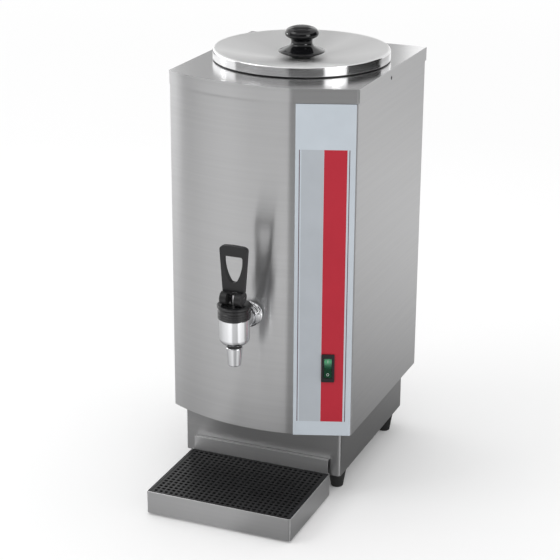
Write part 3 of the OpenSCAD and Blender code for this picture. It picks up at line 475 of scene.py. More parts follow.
# %% Brushed steel
QUARTER_TURN = 0.25
STEEL = (0.60, 0.60, 0.605)
LEVEL_GRAIN, FINE_GRAIN, ACROSS_GRAIN = (12, 12, 900), (12, 12, 1500), (12, 900, 12)
CLOUD_SHARE = 0.35


def brushed(name, colour, rough, aniso, grain, turn=QUARTER_TURN):
    mat = new_finish(name, colour, rough, Metallic=1.0, Anisotropic=aniso, Anisotropic_Rotation=turn)
    lines = noise(mat, stretched(mat, grain), detail=4.0, rough=0.6)
    clouds = noise(mat, stretched(mat, shade(grain, CLOUD_SHARE)))
    vary(mat, lines, "Roughness", low=rough - 0.02, high=rough + 0.03)
    tint(mat, clouds, dark=shade(colour, 0.975), light=shade(colour, 1.02))
    emboss(mat, lines, strength=0.04, depth_mm=0.02)
    return mat


sheet_steel = brushed("brushed_sheet", STEEL, rough=0.31, aniso=1.0, grain=LEVEL_GRAIN)
cover_steel = brushed("brushed_cover", STEEL, rough=0.2, aniso=0.0, grain=ACROSS_GRAIN, turn=0.0)
# The plinth is the same brushed steel, darkened as painted shade for its place under the bowed front.
plinth_steel_shaded = brushed("brushed_plinth_shaded", shade(STEEL, 0.68), rough=0.31, aniso=1.0, grain=LEVEL_GRAIN)
inner_steel = brushed("plain_inner_sheet", shade(STEEL, 0.95), rough=0.34, aniso=0.4, grain=LEVEL_GRAIN)
band_steel = brushed("polished_band", (0.92, 0.92, 0.925), rough=0.13, aniso=0.85, grain=FINE_GRAIN)
print("sheets", [mat.name for mat in (sheet_steel, cover_steel, plinth_steel_shaded, inner_steel, band_steel)])

# %% [markdown]
# The lid's dish is spun and then polished. Rings of a Wave texture draw the spinning marks. The soft lighter
# and darker wedges that reflections make round the middle are painted into the colour as sheen: a Radial
# gradient with a ramp changes the colour with the way round.

# %% Spun steel
LID_CENTRE = (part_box("lid_pan")[0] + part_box("lid_pan")[1]) / 2
PAINTED_SHEEN_LEVELS = [(-180, 0.93), (-140, 1.0), (-115, 0.93), (-80, 0.94), (-60, 1.05), (-42, 0.9), (-20, 0.76),
                (-2, 0.82), (16, 1.1), (40, 1.1), (60, 0.83), (80, 0.91), (105, 0.97), (140, 0.91),
                (160, 1.0), (180, 0.93)]
WAVE_PER_RING = 3


def spun(name, colour, rough, aniso, rings_per_mm):
    mat = new_finish(name, colour, rough, Metallic=1.0, Anisotropic=aniso, Anisotropic_Rotation=QUARTER_TURN)
    ring_scale = rings_per_mm / MM / WAVE_PER_RING
    rings = add(mat, "TexWave", {"Scale": ring_scale, "Distortion": 1.5, "Detail": 3.0},
                wave_type="RINGS", rings_direction="Z")
    join(mat, stretched(mat, (1, 1, 1), place=(-LID_CENTRE.x, -LID_CENTRE.y, 0)), rings.inputs["Vector"])
    emboss(mat, rings.outputs["Fac"], strength=0.05, depth_mm=0.02)
    vary(mat, rings.outputs["Fac"], "Roughness", low=rough - 0.03, high=rough + 0.04)
    # The wedges are painted sheen in the base colour, lighter and darker by the way round.
    wedges = add(mat, "TexGradient", gradient_type="RADIAL")
    painted_sheen = level_ramp(mat.node_tree, [(round_share(a), colour[0] * level) for a, level in PAINTED_SHEEN_LEVELS])
    turned_round = stretched(mat, (1, 1, 1), place=(LID_CENTRE.y, -LID_CENTRE.x, 0), turn=math.pi / 2)
    join(mat, turned_round, wedges.inputs["Vector"])
    join(mat, wedges.outputs["Fac"], painted_sheen.inputs["Fac"])
    join(mat, painted_sheen.outputs["Color"], surface(mat, "Base Color"))
    return mat


dish_steel = spun("spun_lid", (0.88, 0.88, 0.885), rough=0.5, aniso=0.3, rings_per_mm=0.8)
print("lid", dish_steel.name, "round", [round(c, 4) for c in LID_CENTRE])

# %% [markdown]
# Plated and plain metal has no grain: chrome on the tap, zinc on the screws, brass on nuts and blades, and
# the cut edges of the tray, whose lighter colour is partly unbrushed metal and partly a painted highlight.
# One helper makes them all, because they differ only in colour and polish. The chrome also gets the faint
# waves of a polished casting.

# %% Plated metal, brass and cut edges


def plain_metal(name, colour, rough, grain, low, high):
    """Metal without a grain direction, whose polish varies a little from place to place."""
    mat = new_finish(name, colour, rough, Metallic=1.0)
    vary(mat, noise(mat, stretched(mat, (grain, grain, grain))), "Roughness", low, high)
    return mat


chrome = plain_metal("polished_chrome", (0.73, 0.735, 0.75), rough=0.1, grain=220, low=0.08, high=0.14)
emboss(chrome, noise(chrome, stretched(chrome, (60, 60, 60))), strength=0.03, depth_mm=0.05)
zinc = plain_metal("bright_zinc", (0.66, 0.67, 0.68), rough=0.26, grain=900, low=0.2, high=0.34)
# The lighter colour is partly bare cut metal and partly a painted highlight.
cut_edge_highlight = plain_metal("cut_edge_painted_highlight", (0.9, 0.9, 0.9), rough=0.34, grain=300, low=0.28, high=0.42)
dark_screw = plain_metal("dark_screw", (0.1, 0.1, 0.105), rough=0.35, grain=700, low=0.28, high=0.45)
brass = plain_metal("plain_brass", (0.66, 0.48, 0.2), rough=0.3, grain=500, low=0.24, high=0.38)
print("plain metals", [mat.name for mat in (chrome, zinc, cut_edge_highlight, dark_screw, brass)])

# %% [markdown]
# The mouldings that show are black: a glossy knob, a satin lever and bonnet, and dull rubber feet.
# Inside are pale seals, white insulators, wool and leads. One black could serve for all, but they
# differ in how they scatter light, so roughness and a fine pebble carry the difference.

# %% Mouldings, rubber, wool and leads
CLOUD_GRAIN = 35


def moulded(name, colour, rough, pebble_mm, depth_mm, **sockets):
    mat = new_finish(name, colour, rough, **sockets)
    pebble = noise(mat, stretched(mat, (1 / (pebble_mm * MM),) * 3), detail=2.0)
    cloud = noise(mat, stretched(mat, (CLOUD_GRAIN, CLOUD_GRAIN, CLOUD_GRAIN)))
    vary(mat, cloud, "Roughness", low=rough * 0.88, high=rough * 1.12)
    tint(mat, cloud, dark=shade(colour, 0.9), light=shade(colour, 1.12))
    emboss(mat, pebble, strength=0.25, depth_mm=depth_mm)
    return mat


gloss_black = moulded("gloss_black", (0.006, 0.006, 0.007), rough=0.07, pebble_mm=1.2, depth_mm=0.002,
                      Specular_IOR_Level=0.45)
satin_black = moulded("satin_black", (0.014, 0.014, 0.015), rough=0.34, pebble_mm=0.35, depth_mm=0.02,
                      Specular_IOR_Level=0.35)
lever_black = moulded("lever_black", (0.018, 0.018, 0.019), rough=0.4, pebble_mm=0.5, depth_mm=0.03,
                      Specular_IOR_Level=0.3)
bonnet_black = moulded("bonnet_black", (0.009, 0.009, 0.01), rough=0.2, pebble_mm=0.6, depth_mm=0.01)
rubber = moulded("black_rubber", (0.014, 0.014, 0.014), rough=0.62, pebble_mm=0.4, depth_mm=0.04)
silicone = moulded("pale_silicone", (0.62, 0.6, 0.55), rough=0.5, pebble_mm=0.6, depth_mm=0.02,
                   Subsurface_Weight=0.05)
white_plastic = moulded("white_moulding", (0.72, 0.72, 0.68), rough=0.45, pebble_mm=0.5, depth_mm=0.015)
wool = moulded("mineral_wool", (0.5, 0.45, 0.3), rough=0.95, pebble_mm=1.6, depth_mm=0.6)
lead_jacket = moulded("lead_jacket", (0.34, 0.1, 0.035), rough=0.45, pebble_mm=0.6, depth_mm=0.01)
print("mouldings", [mat.name for mat in (gloss_black, satin_black, lever_black, bonnet_black, rubber)])

# %% [markdown]
# The front plate is printed: a pale blue-grey ground, a red band and a grey band with thin rules. Flat
# colours could do for ink, but a faint mottle and a slightly uneven gloss keep it from looking drawn.

# %% Plate and inks
INK_ROUGH = 0.42
MOTTLE_GRAIN, WASH_GRAIN = (260, 260, 260), (25, 25, 25)


def ink(name, colour):
    mat = new_finish(name, colour, INK_ROUGH, Specular_IOR_Level=0.15)
    mottle = noise(mat, stretched(mat, MOTTLE_GRAIN), detail=4.0)
    wash = noise(mat, stretched(mat, WASH_GRAIN))
    vary(mat, mottle, "Roughness", low=INK_ROUGH * 0.85, high=INK_ROUGH * 1.15)
    tint(mat, wash, dark=shade(colour, 0.96), light=shade(colour, 1.03))
    return mat


plate_ground = ink("plate_ground", (0.54, 0.59, 0.64))
plate_grey = ink("plate_grey", (0.44, 0.47, 0.505))
plate_red = ink("plate_red", (0.47, 0.022, 0.04))
plate_dark = ink("plate_dark", (0.12, 0.07, 0.09))
mark_white = ink("mark_white", (0.5, 0.52, 0.51))
print("inks", [mat.name for mat in (plate_ground, plate_grey, plate_red, plate_dark, mark_white)])

# %% [markdown]
# The rocker is a clear green moulding with a lamp behind its upper half. A small light inside it would be
# noisy to render, so the lamp's light is painted into the colour instead: a painted glow that climbs with
# the height, through a Linear gradient that a Mapping node turns upright.

# %% Lighted lens
LENS_PAINTED_GLOW = [(0, (0.006, 0.07, 0.03)), (0.45, (0.004, 0.05, 0.022)), (0.66, (0.01, 0.16, 0.07)),
                (0.82, (0.09, 0.5, 0.22)), (1, (0.012, 0.18, 0.08))]
lens_low, lens_high = (end.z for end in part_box("switch_rocker"))
lens_h = lens_high - lens_low


def painted_glow_lens_finish():
    mat = new_finish("green_lens", (0.01, 0.12, 0.05), 0.16, Coat_Weight=0.5, Coat_Roughness=0.08,
                     Transmission_Weight=0.25, IOR=1.49)
    where = add(mat, "TexCoord")
    upward = add(mat, "Mapping", {"Rotation": (0, math.pi / 2, 0), "Scale": (1, 1, 1 / lens_h),
                                  "Location": (-lens_low / lens_h, 0, 0)})
    height = add(mat, "TexGradient", gradient_type="LINEAR")
    # The ramp's bright stops are painted glow from the lamp behind the rocker.
    glow = colour_ramp(mat.node_tree, LENS_PAINTED_GLOW)
    join(mat, where.outputs["Object"], upward.inputs["Vector"])
    join(mat, upward.outputs[0], height.inputs[0])
    join(mat, height.outputs["Fac"], glow.inputs[0])
    join(mat, glow.outputs[0], surface(mat, "Base Color"))
    return mat


green_lens = painted_glow_lens_finish()
print("lens", round(lens_h / MM, 1), "mm high")

# %% [markdown]
# ## Finishes for the CAD nodes
# Every node keeps its CAD mesh unless a later cell remodels it. Finishes could be set node by node, but
# the record names a material slot for each, so one table from slot to finish dresses them all.

# %% Dress the nodes
SLOT_FINISH = {
    "casing_steel": sheet_steel, "inner_steel": inner_steel, "lid_steel": dish_steel, "chrome": chrome,
    "zinc": zinc, "black_gloss": gloss_black, "black_matte": satin_black, "rubber": rubber,
    "label": plate_ground, "green_lens": green_lens, "brass": brass, "white_plastic": white_plastic,
    "silicone": silicone, "wool": wool, "lead": lead_jacket,
}
slot_of = {part["node"]: part["material_slot"] for part in frame["record"]["subparts"]}
for name, node in nodes.items():
    node.data.materials.clear()
    node.data.materials.append(SLOT_FINISH[slot_of[name]])
nodes["cover_screws"].data.materials[0] = dark_screw
print("dressed", len(nodes), "nodes")

# %% [markdown]
# ## New pieces
# A remodelled piece stands for a CAD node: it rides on the node's body and replaces it in the picture. That
# could be written out for each piece, but one helper keeps them alike. It also marks the edges at which
# smooth shading stops.

# %% Placing a piece
SHARP_ANGLE = math.radians(50)


def place_piece(name, bm, finishes, *replaced, body=None):
    """Makes the object, shades it, and lets it stand for its CAD nodes."""
    for face in bm.faces:
        face.smooth = True
    for edge in bm.edges:
        edge.smooth = len(edge.link_faces) != 2 or edge.calc_face_angle(0) < SHARP_ANGLE
    mesh = bpy.data.meshes.new(name)
    bm.to_mesh(mesh)
    bm.free()
    cad_normals = mesh.attributes.get("custom_normal")
    if cad_normals:
        mesh.attributes.remove(cad_normals)
    obj = bpy.data.objects.new(name, mesh)
    scene.collection.objects.link(obj)
    for finish in finishes if isinstance(finishes, (list, tuple)) else [finishes]:
        mesh.materials.append(finish)
    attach(obj, body or nodes[replaced[0]]["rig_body"])
    if replaced:
        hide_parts(*replaced)
    return obj


def even_normals(obj):
    """Large faces keep flat shading and the narrow bevels carry the turn."""
    weights = obj.modifiers.new("even_normals", "WEIGHTED_NORMAL")
    weights.keep_sharp = True
    return obj


print("edges over", round(math.degrees(SHARP_ANGLE)), "degrees are shaded sharp")

# %% [markdown]
# ## Folded sheets
# A brake press leaves a small round on each fold, and a deburred edge is never a knife edge. The CAD
# solids have sharp folds. A Bevel modifier could sit on the node, but a merged copy gives clean
# strips: triangles in one plane dissolve into whole faces, and only the true edges are bevelled.

# %% Copies with softened edges
MERGE_DIST = 0.004 * MM
FLAT_ANGLE, EDGE_ANGLE = math.radians(0.6), math.radians(28)
UPRIGHT_SHARE, FOLD_STEPS = 0.99, 3


def merged_copy(node):
    bm = bmesh.new()
    bm.from_mesh(nodes[node].data)
    bmesh.ops.remove_doubles(bm, verts=bm.verts, dist=MERGE_DIST)
    bmesh.ops.dissolve_limit(bm, angle_limit=FLAT_ANGLE, verts=bm.verts, edges=bm.edges)
    return bm


def bevel_edges(bm, edges, width, segments):
    bmesh.ops.bevel(bm, geom=edges, offset=width, offset_type="OFFSET", affect="EDGES", segments=segments,
                    profile=0.5, material=-1, clamp_overlap=True)


def hard_edges(bm):
    return [e for e in bm.edges if len(e.link_faces) == 2 and e.calc_face_angle(0) > EDGE_ANGLE]


def upright(edge):
    run = edge.verts[1].co - edge.verts[0].co
    return abs(run.z) > UPRIGHT_SHARE * run.length


def softened(node, name, width_mm, finishes, segments=2, fold_mm=0.0, shortest_mm=0.0):
    """A copy with softened edges. Upright folds may get a wider round first; small holes may stay sharp."""
    bm = merged_copy(node)
    if fold_mm:
        bevel_edges(bm, [e for e in hard_edges(bm) if upright(e)], fold_mm * MM, FOLD_STEPS)
    edges = [e for e in hard_edges(bm) if e.calc_length() > shortest_mm * MM]
    bevel_edges(bm, edges, width_mm * MM, segments)
    bmesh.ops.dissolve_degenerate(bm, dist=MERGE_DIST, edges=bm.edges)
    obj = even_normals(place_piece(name, bm, finishes, node))
    print(name, len(edges), "edges softened,", len(obj.data.polygons), "faces")
    return obj


print("folds over", round(math.degrees(EDGE_ANGLE)), "degrees are softened")

# %% Sheets, plate, bezel and feet
SHEET_ROUND, TRAY_ROUND, PLATE_ROUND, BEZEL_ROUND, FOOT_ROUND = 0.35, 0.45, 0.25, 0.3, 0.8
softened("outer_casing", "casing_wrap", SHEET_ROUND, sheet_steel)
softened("front_fascia", "bowed_front", SHEET_ROUND, sheet_steel)
softened("base_shell", "plinth_wrap", SHEET_ROUND, plinth_steel_shaded)
tray = softened("drip_tray", "drip_tray_folded", TRAY_ROUND, [sheet_steel, cut_edge_highlight])
softened("label_plate", "front_plate", PLATE_ROUND, plate_ground)
softened("switch_housing", "switch_bezel", BEZEL_ROUND, satin_black)
softened("rubber_feet", "feet_moulded", FOOT_ROUND, rubber, segments=3)

# %% [markdown]
# The upper edges of the tray are cut sheet. Their lighter colour is partly that bare metal and partly a
# painted highlight along the rim. Bright strips could be laid on them, but the faces are there already:
# those that look up, well above the tray's floor, get the second finish.

# %% Cut edges of the tray
EDGE_UP, ABOVE_FLOOR = 0.5, 10 * MM
for face in tray.data.polygons:
    face.material_index = 1 if face.normal.z > EDGE_UP and face.center.z > ABOVE_FLOOR else 0
print("bright edge faces", sum(face.material_index for face in tray.data.polygons))

# %% [markdown]
# The cover is one sheet too, but its top is polished almost to a mirror while its skirt is brushed like
# the sides. After the bevel, a face's normal tells which it is, so two finishes go on one piece.

# %% Top cover
UPWARD = 0.7
COVER_ROUND, COVER_FOLD, COVER_SHORTEST = 0.4, 1.2, 2.0
cover = softened("top_cover", "cover_folded", COVER_ROUND, [sheet_steel, cover_steel],
                 fold_mm=COVER_FOLD, shortest_mm=COVER_SHORTEST)
for face in cover.data.polygons:
    face.material_index = 1 if face.normal.z > UPWARD else 0
print("cover faces that look up", sum(face.material_index for face in cover.data.polygons))

# %% [markdown]
# ## The lid
# A lid like this is spun on a lathe: a flat disc is pressed over a former while it turns. A Screw modifier
# could turn a profile, and so does the Spin operator, which leaves a plain mesh. The profile is drawn once,
# as a closed line round the sheet's thickness, with the hollow face, the rolled edge, the straight band, and
# a narrow hem set in under the band, whose faces are also dressed black as painted shade for the shadow line
# there.

# %% Profiles and turning
SPIN_STEPS = 128


def flowing(points, steps):
    """A smooth line through a few points."""
    line = []
    for i in range(len(points) - 1):
        a, b, c, d = (Vector(points[min(max(k, 0), len(points) - 1)]) for k in (i - 1, i, i + 1, i + 2))
        for k in range(steps):
            t = k / steps
            line.append(0.5 * (2 * b + (c - a) * t + (2 * a - 5 * b + 4 * c - d) * t * t
                               + (3 * b - a - 3 * c + d) * t ** 3))
    return line + [Vector(points[-1])]


def corner(centre, radius, start, end, steps):
    """A quarter or other arc of a profile, in degrees from the outward direction."""
    turn = [math.radians(start + (end - start) * k / steps) for k in range(steps + 1)]
    return [Vector((centre[0] + radius * math.cos(a), centre[1] + radius * math.sin(a))) for a in turn]


def turned(bm, profile_mm, centre, axis="Z", closed=True, steps=SPIN_STEPS):
    """Spins a profile of (radius, height) points in millimetres round an axis through a centre."""
    if axis == "Z":
        points = [Vector((p[0], 0, p[1])) * MM + centre for p in profile_mm]
        line = (0, 0, 1)
    else:
        points = [Vector((p[0], p[1], 0)) * MM + centre for p in profile_mm]
        line = (0, 1, 0)
    verts = [bm.verts.new(p) for p in points]
    edges = [bm.edges.new(pair) for pair in zip(verts, verts[1:])]
    if closed:
        edges.append(bm.edges.new((verts[-1], verts[0])))
    bmesh.ops.spin(bm, geom=verts + edges, cent=centre, axis=line, angle=2 * math.pi, steps=steps,
                   use_merge=True)
    bmesh.ops.remove_doubles(bm, verts=bm.verts, dist=MERGE_DIST)
    bmesh.ops.recalc_face_normals(bm, faces=bm.faces)


print("turned pieces have", SPIN_STEPS, "steps round")

# %% Spun lid
LID_R, LID_ROLL, LID_WALL, BAND_EDGE = 99.5, 2.4, 1.0, 0.2
ROLL_STEPS, INNER_STEPS = 8, 6
DISH_R, DISH_FLAT, DISH_POWER, DISH_STEPS = 95.0, 16.0, 1.7, 40
SCREW_HOLE = 2.6
HEM_IN, HEM_H, HEM_ROUND = 1.4, 1.3, 0.3
SIDEWAYS = 0.5
DISH_SLOT, BAND_SLOT, HEM_SHADE_SLOT = 0, 1, 2
lid_low, lid_high = (end.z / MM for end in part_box("lid_pan"))
DISH_DEPTH = lid_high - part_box("knob_washer")[0].z / MM


def dish(r):
    return lid_high - DISH_DEPTH * (1 - max(0.0, (r - DISH_FLAT) / (DISH_R - DISH_FLAT)) ** DISH_POWER)


def lid_profile():
    roll = (LID_R - LID_ROLL, lid_high - LID_ROLL)
    radii = [DISH_R - (DISH_R - SCREW_HOLE) * k / DISH_STEPS for k in range(DISH_STEPS + 1)]
    face = [Vector((r, dish(r))) for r in radii]
    back = [p - Vector((0, LID_WALL)) for p in reversed(face)]
    hem = [Vector((LID_R - LID_WALL - HEM_IN, lid_low)), Vector((LID_R - HEM_IN, lid_low)),
           Vector((LID_R - HEM_IN, lid_low + HEM_H))]
    band = hem + [Vector((LID_R - HEM_ROUND, lid_low + HEM_H)),
                  Vector((LID_R, lid_low + HEM_H + HEM_ROUND)), Vector((LID_R, roll[1] - BAND_EDGE))]
    return (band + corner(roll, LID_ROLL, 0, 90, ROLL_STEPS) + face
            + back + corner(roll, LID_ROLL - LID_WALL, 90, 0, INNER_STEPS))


bm = bmesh.new()
turned(bm, lid_profile(), Vector((LID_CENTRE.x, LID_CENTRE.y, 0)))
lid = even_normals(place_piece("lid_spun", bm, [dish_steel, band_steel, satin_black], "lid_pan"))
for face in lid.data.polygons:
    out = (face.center - LID_CENTRE).xy.length
    face.material_index = BAND_SLOT if abs(face.normal.z) < SIDEWAYS else DISH_SLOT
    # The hem's faces take the black finish as painted shade.
    if face.center.z < (lid_low + HEM_H) * MM and out > DISH_R * MM:
        face.material_index = HEM_SHADE_SLOT
print("lid", len(lid.data.polygons), "faces, dish", round(DISH_DEPTH, 2), "mm deep")

# %% [markdown]
# ## The knob
# The knob is a turned shape too: a foot, a lens-shaped flange, a waist and a domed cap. A cylinder could
# be pulled into shape loop by loop, but a few points with a smooth line through them are enough,
# because the spin does the rest.

# %% Turned knob
KNOB_TOP, KNOB_LINE_R, LINE_STEPS = 35, 27.2, 5
KNOB_LINE = [(13, 0), (21, 3.2), (27, 5.6), (KNOB_LINE_R, 7.2), (21, 9.8), (14, 13.4), (12.6, 17.2),
             (14, 20.6), (19, 23.6), (20, 27.2), (17.4, 31.4), (10, 34.2), (3, KNOB_TOP)]
knob_low, knob_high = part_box("lid_knob")
knob_wide = (knob_high.x - LID_CENTRE.x) / MM / KNOB_LINE_R
knob_line = [(p[0] * knob_wide, p[1]) for p in flowing(KNOB_LINE, LINE_STEPS)]
knob_foot = Vector((LID_CENTRE.x, LID_CENTRE.y, knob_low.z))
bm = bmesh.new()
turned(bm, [(0, 0)] + knob_line + [(0, KNOB_TOP)], knob_foot, closed=False)
knob = place_piece("knob_turned", bm, gloss_black, "lid_knob")
print("knob", len(knob.data.polygons), "faces")

# %% [markdown]
# ## The tap
# The tap body is a chromed casting: a tapered spout under a round bowl, with a shank back to the warmer.
# Both are turned, one about the upright axis and one about the axis of the shank. A Boolean could join them,
# but their overlap is hidden in the wall of the bowl, so two turned shells in one mesh keep cleaner faces.
# The groove above the spout is dressed in black rubber as painted shade for the dark gap under the bowl.

# %% Tap body
SPOUT_L, BORE_R = 44, 5.0
SPOUT_LINE = [(BORE_R, -SPOUT_L), (6.3, -SPOUT_L), (6.9, -43.8), (7.2, -43.2), (7.3, -42.4), (8.85, -24.1),
              (8.8, -23.5), (8.35, -23.1), (8.05, -22.7), (8.0, -22.2), (8.0, -20.9), (8.2, -20.0),
              (8.7, -19.3), (9.2, -19)]
BOWL_MID, BOWL_BEND, BOWL_START, BOWL_STEPS = (9.2, -11.6), 7.4, -85, 14
NECK_LINE = [(16.6, 10.0), (16.45, 10.4), (16.0, 10.6), (15.6, 10.65), (15.6, 18.6), (12.6, 18.6),
             (12.6, -17), (BORE_R, -17)]
GROOVE_LOW, GROOVE_HIGH = -23.2, -19.8
SHANK_R, SHANK_START = 9.5, 12.7
tap_low, tap_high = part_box("tap_bonnet")
spout_low, shank_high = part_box("tap_body")
TAP_AXIS = Vector(((tap_low.x + tap_high.x) / 2, (tap_low.y + tap_high.y) / 2, spout_low.z + SPOUT_L * MM))
shank_end = (shank_high.y - TAP_AXIS.y) / MM
bowl = corner(BOWL_MID, BOWL_BEND, BOWL_START, 0, BOWL_STEPS)
bm = bmesh.new()
turned(bm, SPOUT_LINE + bowl + NECK_LINE, TAP_AXIS)
shank = bmesh.new()
shank_line = [(BORE_R, SHANK_START), (SHANK_R, SHANK_START), (SHANK_R, shank_end), (BORE_R, shank_end)]
turned(shank, shank_line, TAP_AXIS, axis="Y")
spare = bpy.data.meshes.new("shank_turned")
shank.to_mesh(spare)
shank.free()
bm.from_mesh(spare)
bpy.data.meshes.remove(spare)
tap = even_normals(place_piece("tap_body_cast", bm, [chrome, rubber], "tap_body"))
# Faces in the groove take the black rubber as painted shade.
for face in tap.data.polygons:
    face.material_index = 1 if GROOVE_LOW < (face.center.z - TAP_AXIS.z) / MM < GROOVE_HIGH else 0
print("tap body", len(tap.data.polygons), "faces")

# %% [markdown]
# Between the tap and the front sits a chromed collar with two ribs. Stacked rings would show hard
# seams. One turned profile has the small slopes between the ribs, where chrome draws its bright lines.

# %% Collar behind the tap
COLLAR_LINE = [(9.6, 0), (13.6, 0), (14, 0.4), (14, 2.8), (13.7, 3.2), (12.6, 3.9), (12.4, 4.3),
               (12.4, 5.2), (12.7, 5.6), (13.4, 5.9), (13.6, 6.3), (13.6, 8.1), (13.3, 8.6), (12.1, 9.1),
               (11.8, 9.5), (11.8, 11.6), (11.4, 12), (9.6, 12)]
collar_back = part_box("tap_collar")[1].y
bm = bmesh.new()
turned(bm, [(r, -y) for r, y in COLLAR_LINE], Vector((TAP_AXIS.x, collar_back, TAP_AXIS.z)), axis="Y")
collar = even_normals(place_piece("tap_collar_turned", bm, chrome, "tap_collar"))
print("collar", len(collar.data.polygons), "faces")

# %% [markdown]
# Inside the bonnet a wound spring closes the tap. A Screw modifier could wind it again, but the CAD coil has
# the right turns already. It gets shorter when the stem rises, which no rigid piece can follow. This copy of
# the coil gets a mesh of its own.

# %% Return spring
spring = place_piece("spring_wound", merged_copy("tap_spring"), inner_steel, "tap_spring")
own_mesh(spring)

# %% [markdown]
# The lever is a black moulding, so its edges are generously rounded. The fork, the cams and the paddle
# are already in the CAD solid: a merged copy with a wider bevel gives the moulded look. The bonnet's
# ribs and the rocker only take a narrow one.

# %% Lever, bonnet and rocker
LEVER_ROUND, BONNET_ROUND, ROCKER_ROUND = 0.7, 0.25, 0.3
softened("tap_lever", "lever_moulded", LEVER_ROUND, lever_black, segments=3)
softened("tap_bonnet", "bonnet_moulded", BONNET_ROUND, bonnet_black)
softened("switch_rocker", "rocker_lens", ROCKER_ROUND, green_lens)

# %% [markdown]
# ## The drip grid
# The grid is a black moulding with nearly five hundred square holes. An Array of one cell could make it,
# but the CAD solid has the holes already. Only a narrow chamfer on each hole is needed for the bars to
# catch the light, so the bevel has one segment and the mesh stays light.

# %% Drip grid
GRID_CHAMFER = 0.55
softened("drip_grid", "grid_moulded", GRID_CHAMFER, satin_black, segments=1)

# %% [markdown]
# A low rim runs round the top of the grid. Four bars would show seams at the corners, so a flat sheet
# gets an inset, loses its middle, and the loop that is left is raised by Extrude and rounded by Bevel.

# %% Raised rim of the grid
RIM_IN, RIM_W, RIM_H, RIM_ROOT, RIM_ROUND = 1.3, 1.3, 0.45, 0.3, 0.3
grid_low, grid_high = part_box("drip_grid")
grid_mid, grid_size = (grid_low + grid_high) / 2, (grid_high - grid_low) / MM
rim_size = ((grid_size.x - 2 * RIM_IN) * MM, (grid_size.y - 2 * RIM_IN) * MM, 1)
bm = bmesh.new()
bmesh.ops.create_grid(bm, x_segments=1, y_segments=1, size=0.5)
bmesh.ops.scale(bm, vec=rim_size, verts=bm.verts)
bmesh.ops.inset_region(bm, faces=bm.faces[:], thickness=RIM_W * MM, use_even_offset=True, use_boundary=True)
inner = min(bm.faces, key=lambda face: face.calc_center_median().length)
bmesh.ops.delete(bm, geom=[inner], context="FACES_ONLY")
walls = bmesh.ops.extrude_face_region(bm, geom=bm.faces[:], use_keep_orig=True)
raised = [v for v in walls["geom"] if isinstance(v, bmesh.types.BMVert)]
bmesh.ops.translate(bm, vec=(0, 0, (RIM_H + RIM_ROOT) * MM), verts=raised)
bmesh.ops.recalc_face_normals(bm, faces=bm.faces)
bevel_edges(bm, [e for e in hard_edges(bm) if all(v in raised for v in e.verts)], RIM_ROUND * MM, 2)
rim_place = Vector((grid_mid.x, grid_mid.y, grid_high.z - RIM_ROOT * MM))
bmesh.ops.translate(bm, vec=rim_place, verts=bm.verts)
rim = place_piece("grid_rim", bm, satin_black, body=nodes["drip_grid"]["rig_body"])
print("grid rim", len(rim.data.polygons), "faces")

# %% [markdown]
# ## The print on the plate
# The bands and rules could be a pattern in the plate's material. Here they are laid on as very thin
# films, each a box on the flat land of the front. Real ink is thinner still, but geometry keeps the
# edges crisp at any distance. The land is turned from the front, so one matrix takes plate coordinates
# to the frame.

# %% Plate films
LAND_PLACE = Vector((47.0, -75.498, 0)) * MM
LAND_TURN = math.radians(20.175)
FILM = 0.06 * MM
PLATE_FACE = 0.05 * MM
on_land = Matrix.Translation(LAND_PLACE) @ Matrix.Rotation(LAND_TURN, 4, "Z")


def film(name, x0, x1, z0, z1, finish):
    """A thin rectangle of ink between two places along the land and two heights, in millimetres."""
    bm = bmesh.new()
    bmesh.ops.create_cube(bm, size=1.0)
    size = Matrix.Diagonal(((x1 - x0) * MM, FILM, (z1 - z0) * MM, 1))
    middle = Vector(((x0 + x1) / 2 * MM, PLATE_FACE - FILM / 2, (z0 + z1) / 2 * MM))
    bmesh.ops.transform(bm, matrix=on_land @ Matrix.Translation(middle) @ size, verts=bm.verts)
    obj = place_piece(name, bm, finish, body=nodes["label_plate"]["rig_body"])
    return obj


SWITCH_X, SWITCH_Z, CUT_W, CUT_H = 39.0, 160.5, 12.4, 29.2
BAND_TOP, BAND_LOW = 409.0, 96.0
RED_X0, RED_X1, GREY_X0, GREY_X1 = 31.5, 56.0, 7.5, 31.0
RULE_LEFT, RULE_RIGHT, RULE_W = 5.0, 58.0, 0.9
cut_x0, cut_x1 = SWITCH_X - CUT_W / 2, SWITCH_X + CUT_W / 2
cut_z0, cut_z1 = SWITCH_Z - CUT_H / 2, SWITCH_Z + CUT_H / 2
ink_areas = [
    ("ink_grey_band", GREY_X0, GREY_X1, BAND_LOW, BAND_TOP, plate_grey),
    ("ink_red_above_switch", RED_X0, RED_X1, cut_z1, BAND_TOP, plate_red),
    ("ink_red_below_switch", RED_X0, RED_X1, BAND_LOW, cut_z0, plate_red),
    ("ink_red_left_of_switch", RED_X0, cut_x0, cut_z0, cut_z1, plate_red),
    ("ink_red_right_of_switch", cut_x1, RED_X1, cut_z0, cut_z1, plate_red),
    ("ink_rule_left", RULE_LEFT, RULE_LEFT + RULE_W, BAND_LOW, BAND_TOP, plate_dark),
    ("ink_rule_right", RULE_RIGHT, RULE_RIGHT + RULE_W, BAND_LOW, BAND_TOP, plate_dark),
]
films = [film(*area) for area in ink_areas]
print("films", [f.name for f in films])

# %% [markdown]
# ## Marks on the rocker
# The rocker carries the two plain marks that such switches have: a bar for on and a ring for off. Text
# objects could draw them, but a box and a turned ring need no font. Both lie on the sloped faces of the
# rocker and move with it.

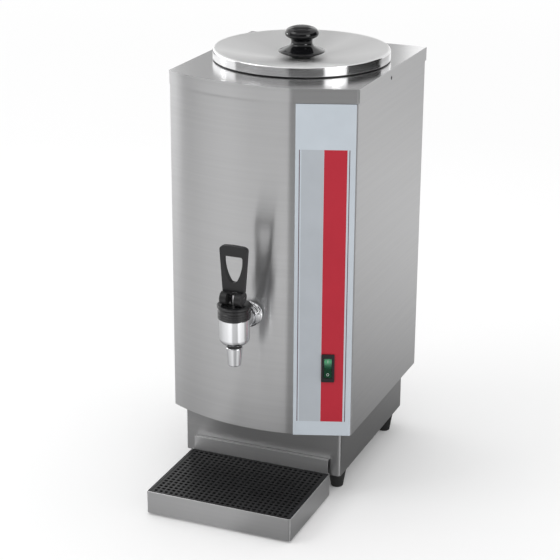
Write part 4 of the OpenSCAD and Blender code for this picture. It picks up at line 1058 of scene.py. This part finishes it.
# %% Rocker marks
ROCKER_PIVOT, ROCKER_TIP = -3.0, math.radians(-9)
ROCKER_MID, ROCKER_END, ROCKER_REACH = 3.4, 5.2, 13.0
MARK_LIFT, MARK_T = 0.03, 0.08
RING_IN, RING_OUT, RING_STEPS, RING_V = 1.05, 1.5, 32, -7.6
BAR_W, BAR_L, BAR_V = 0.6, 3.4, 7.2
switch_place = Matrix.Translation((SWITCH_X * MM, PLATE_FACE, SWITCH_Z * MM))
switch_frame = on_land @ switch_place @ Matrix.Rotation(math.pi / 2, 4, "X")
pivot = Matrix.Translation((0, 0, ROCKER_PIVOT * MM))
rocker_frame = switch_frame @ pivot @ Matrix.Rotation(ROCKER_TIP, 4, "X")
face_slope = math.atan2(ROCKER_END - ROCKER_MID, ROCKER_REACH)


def rocker_spot(v):
    """Frame on the rocker's face at a height above its middle, in millimetres."""
    lift = ROCKER_MID + abs(v) * math.tan(face_slope) + MARK_LIFT
    tilt = Matrix.Rotation(math.copysign(face_slope, v), 4, "X")
    return rocker_frame @ Matrix.Translation((0, v * MM, lift * MM)) @ tilt


ring_low, ring_high = -MARK_T / 2, MARK_T / 2
ring_line = [(RING_IN, ring_low), (RING_OUT, ring_low), (RING_OUT, ring_high), (RING_IN, ring_high)]
bm = bmesh.new()
turned(bm, ring_line, Vector((0, 0, 0)), steps=RING_STEPS)
bmesh.ops.transform(bm, matrix=rocker_spot(RING_V), verts=bm.verts)
off_mark = place_piece("mark_off_ring", bm, mark_white, body="rocker")
bm = bmesh.new()
bmesh.ops.create_cube(bm, size=1.0)
bar = Matrix.Diagonal((BAR_W * MM, BAR_L * MM, MARK_T * MM, 1))
bmesh.ops.transform(bm, matrix=rocker_spot(BAR_V) @ bar, verts=bm.verts)
on_mark = place_piece("mark_on_bar", bm, mark_white, body="rocker")
print("marks", off_mark.name, on_mark.name)

# %% [markdown]
# ## Colour management
# The Standard view shows colours as they are written.

# %% Finish
scene.view_settings.view_transform = "Standard"
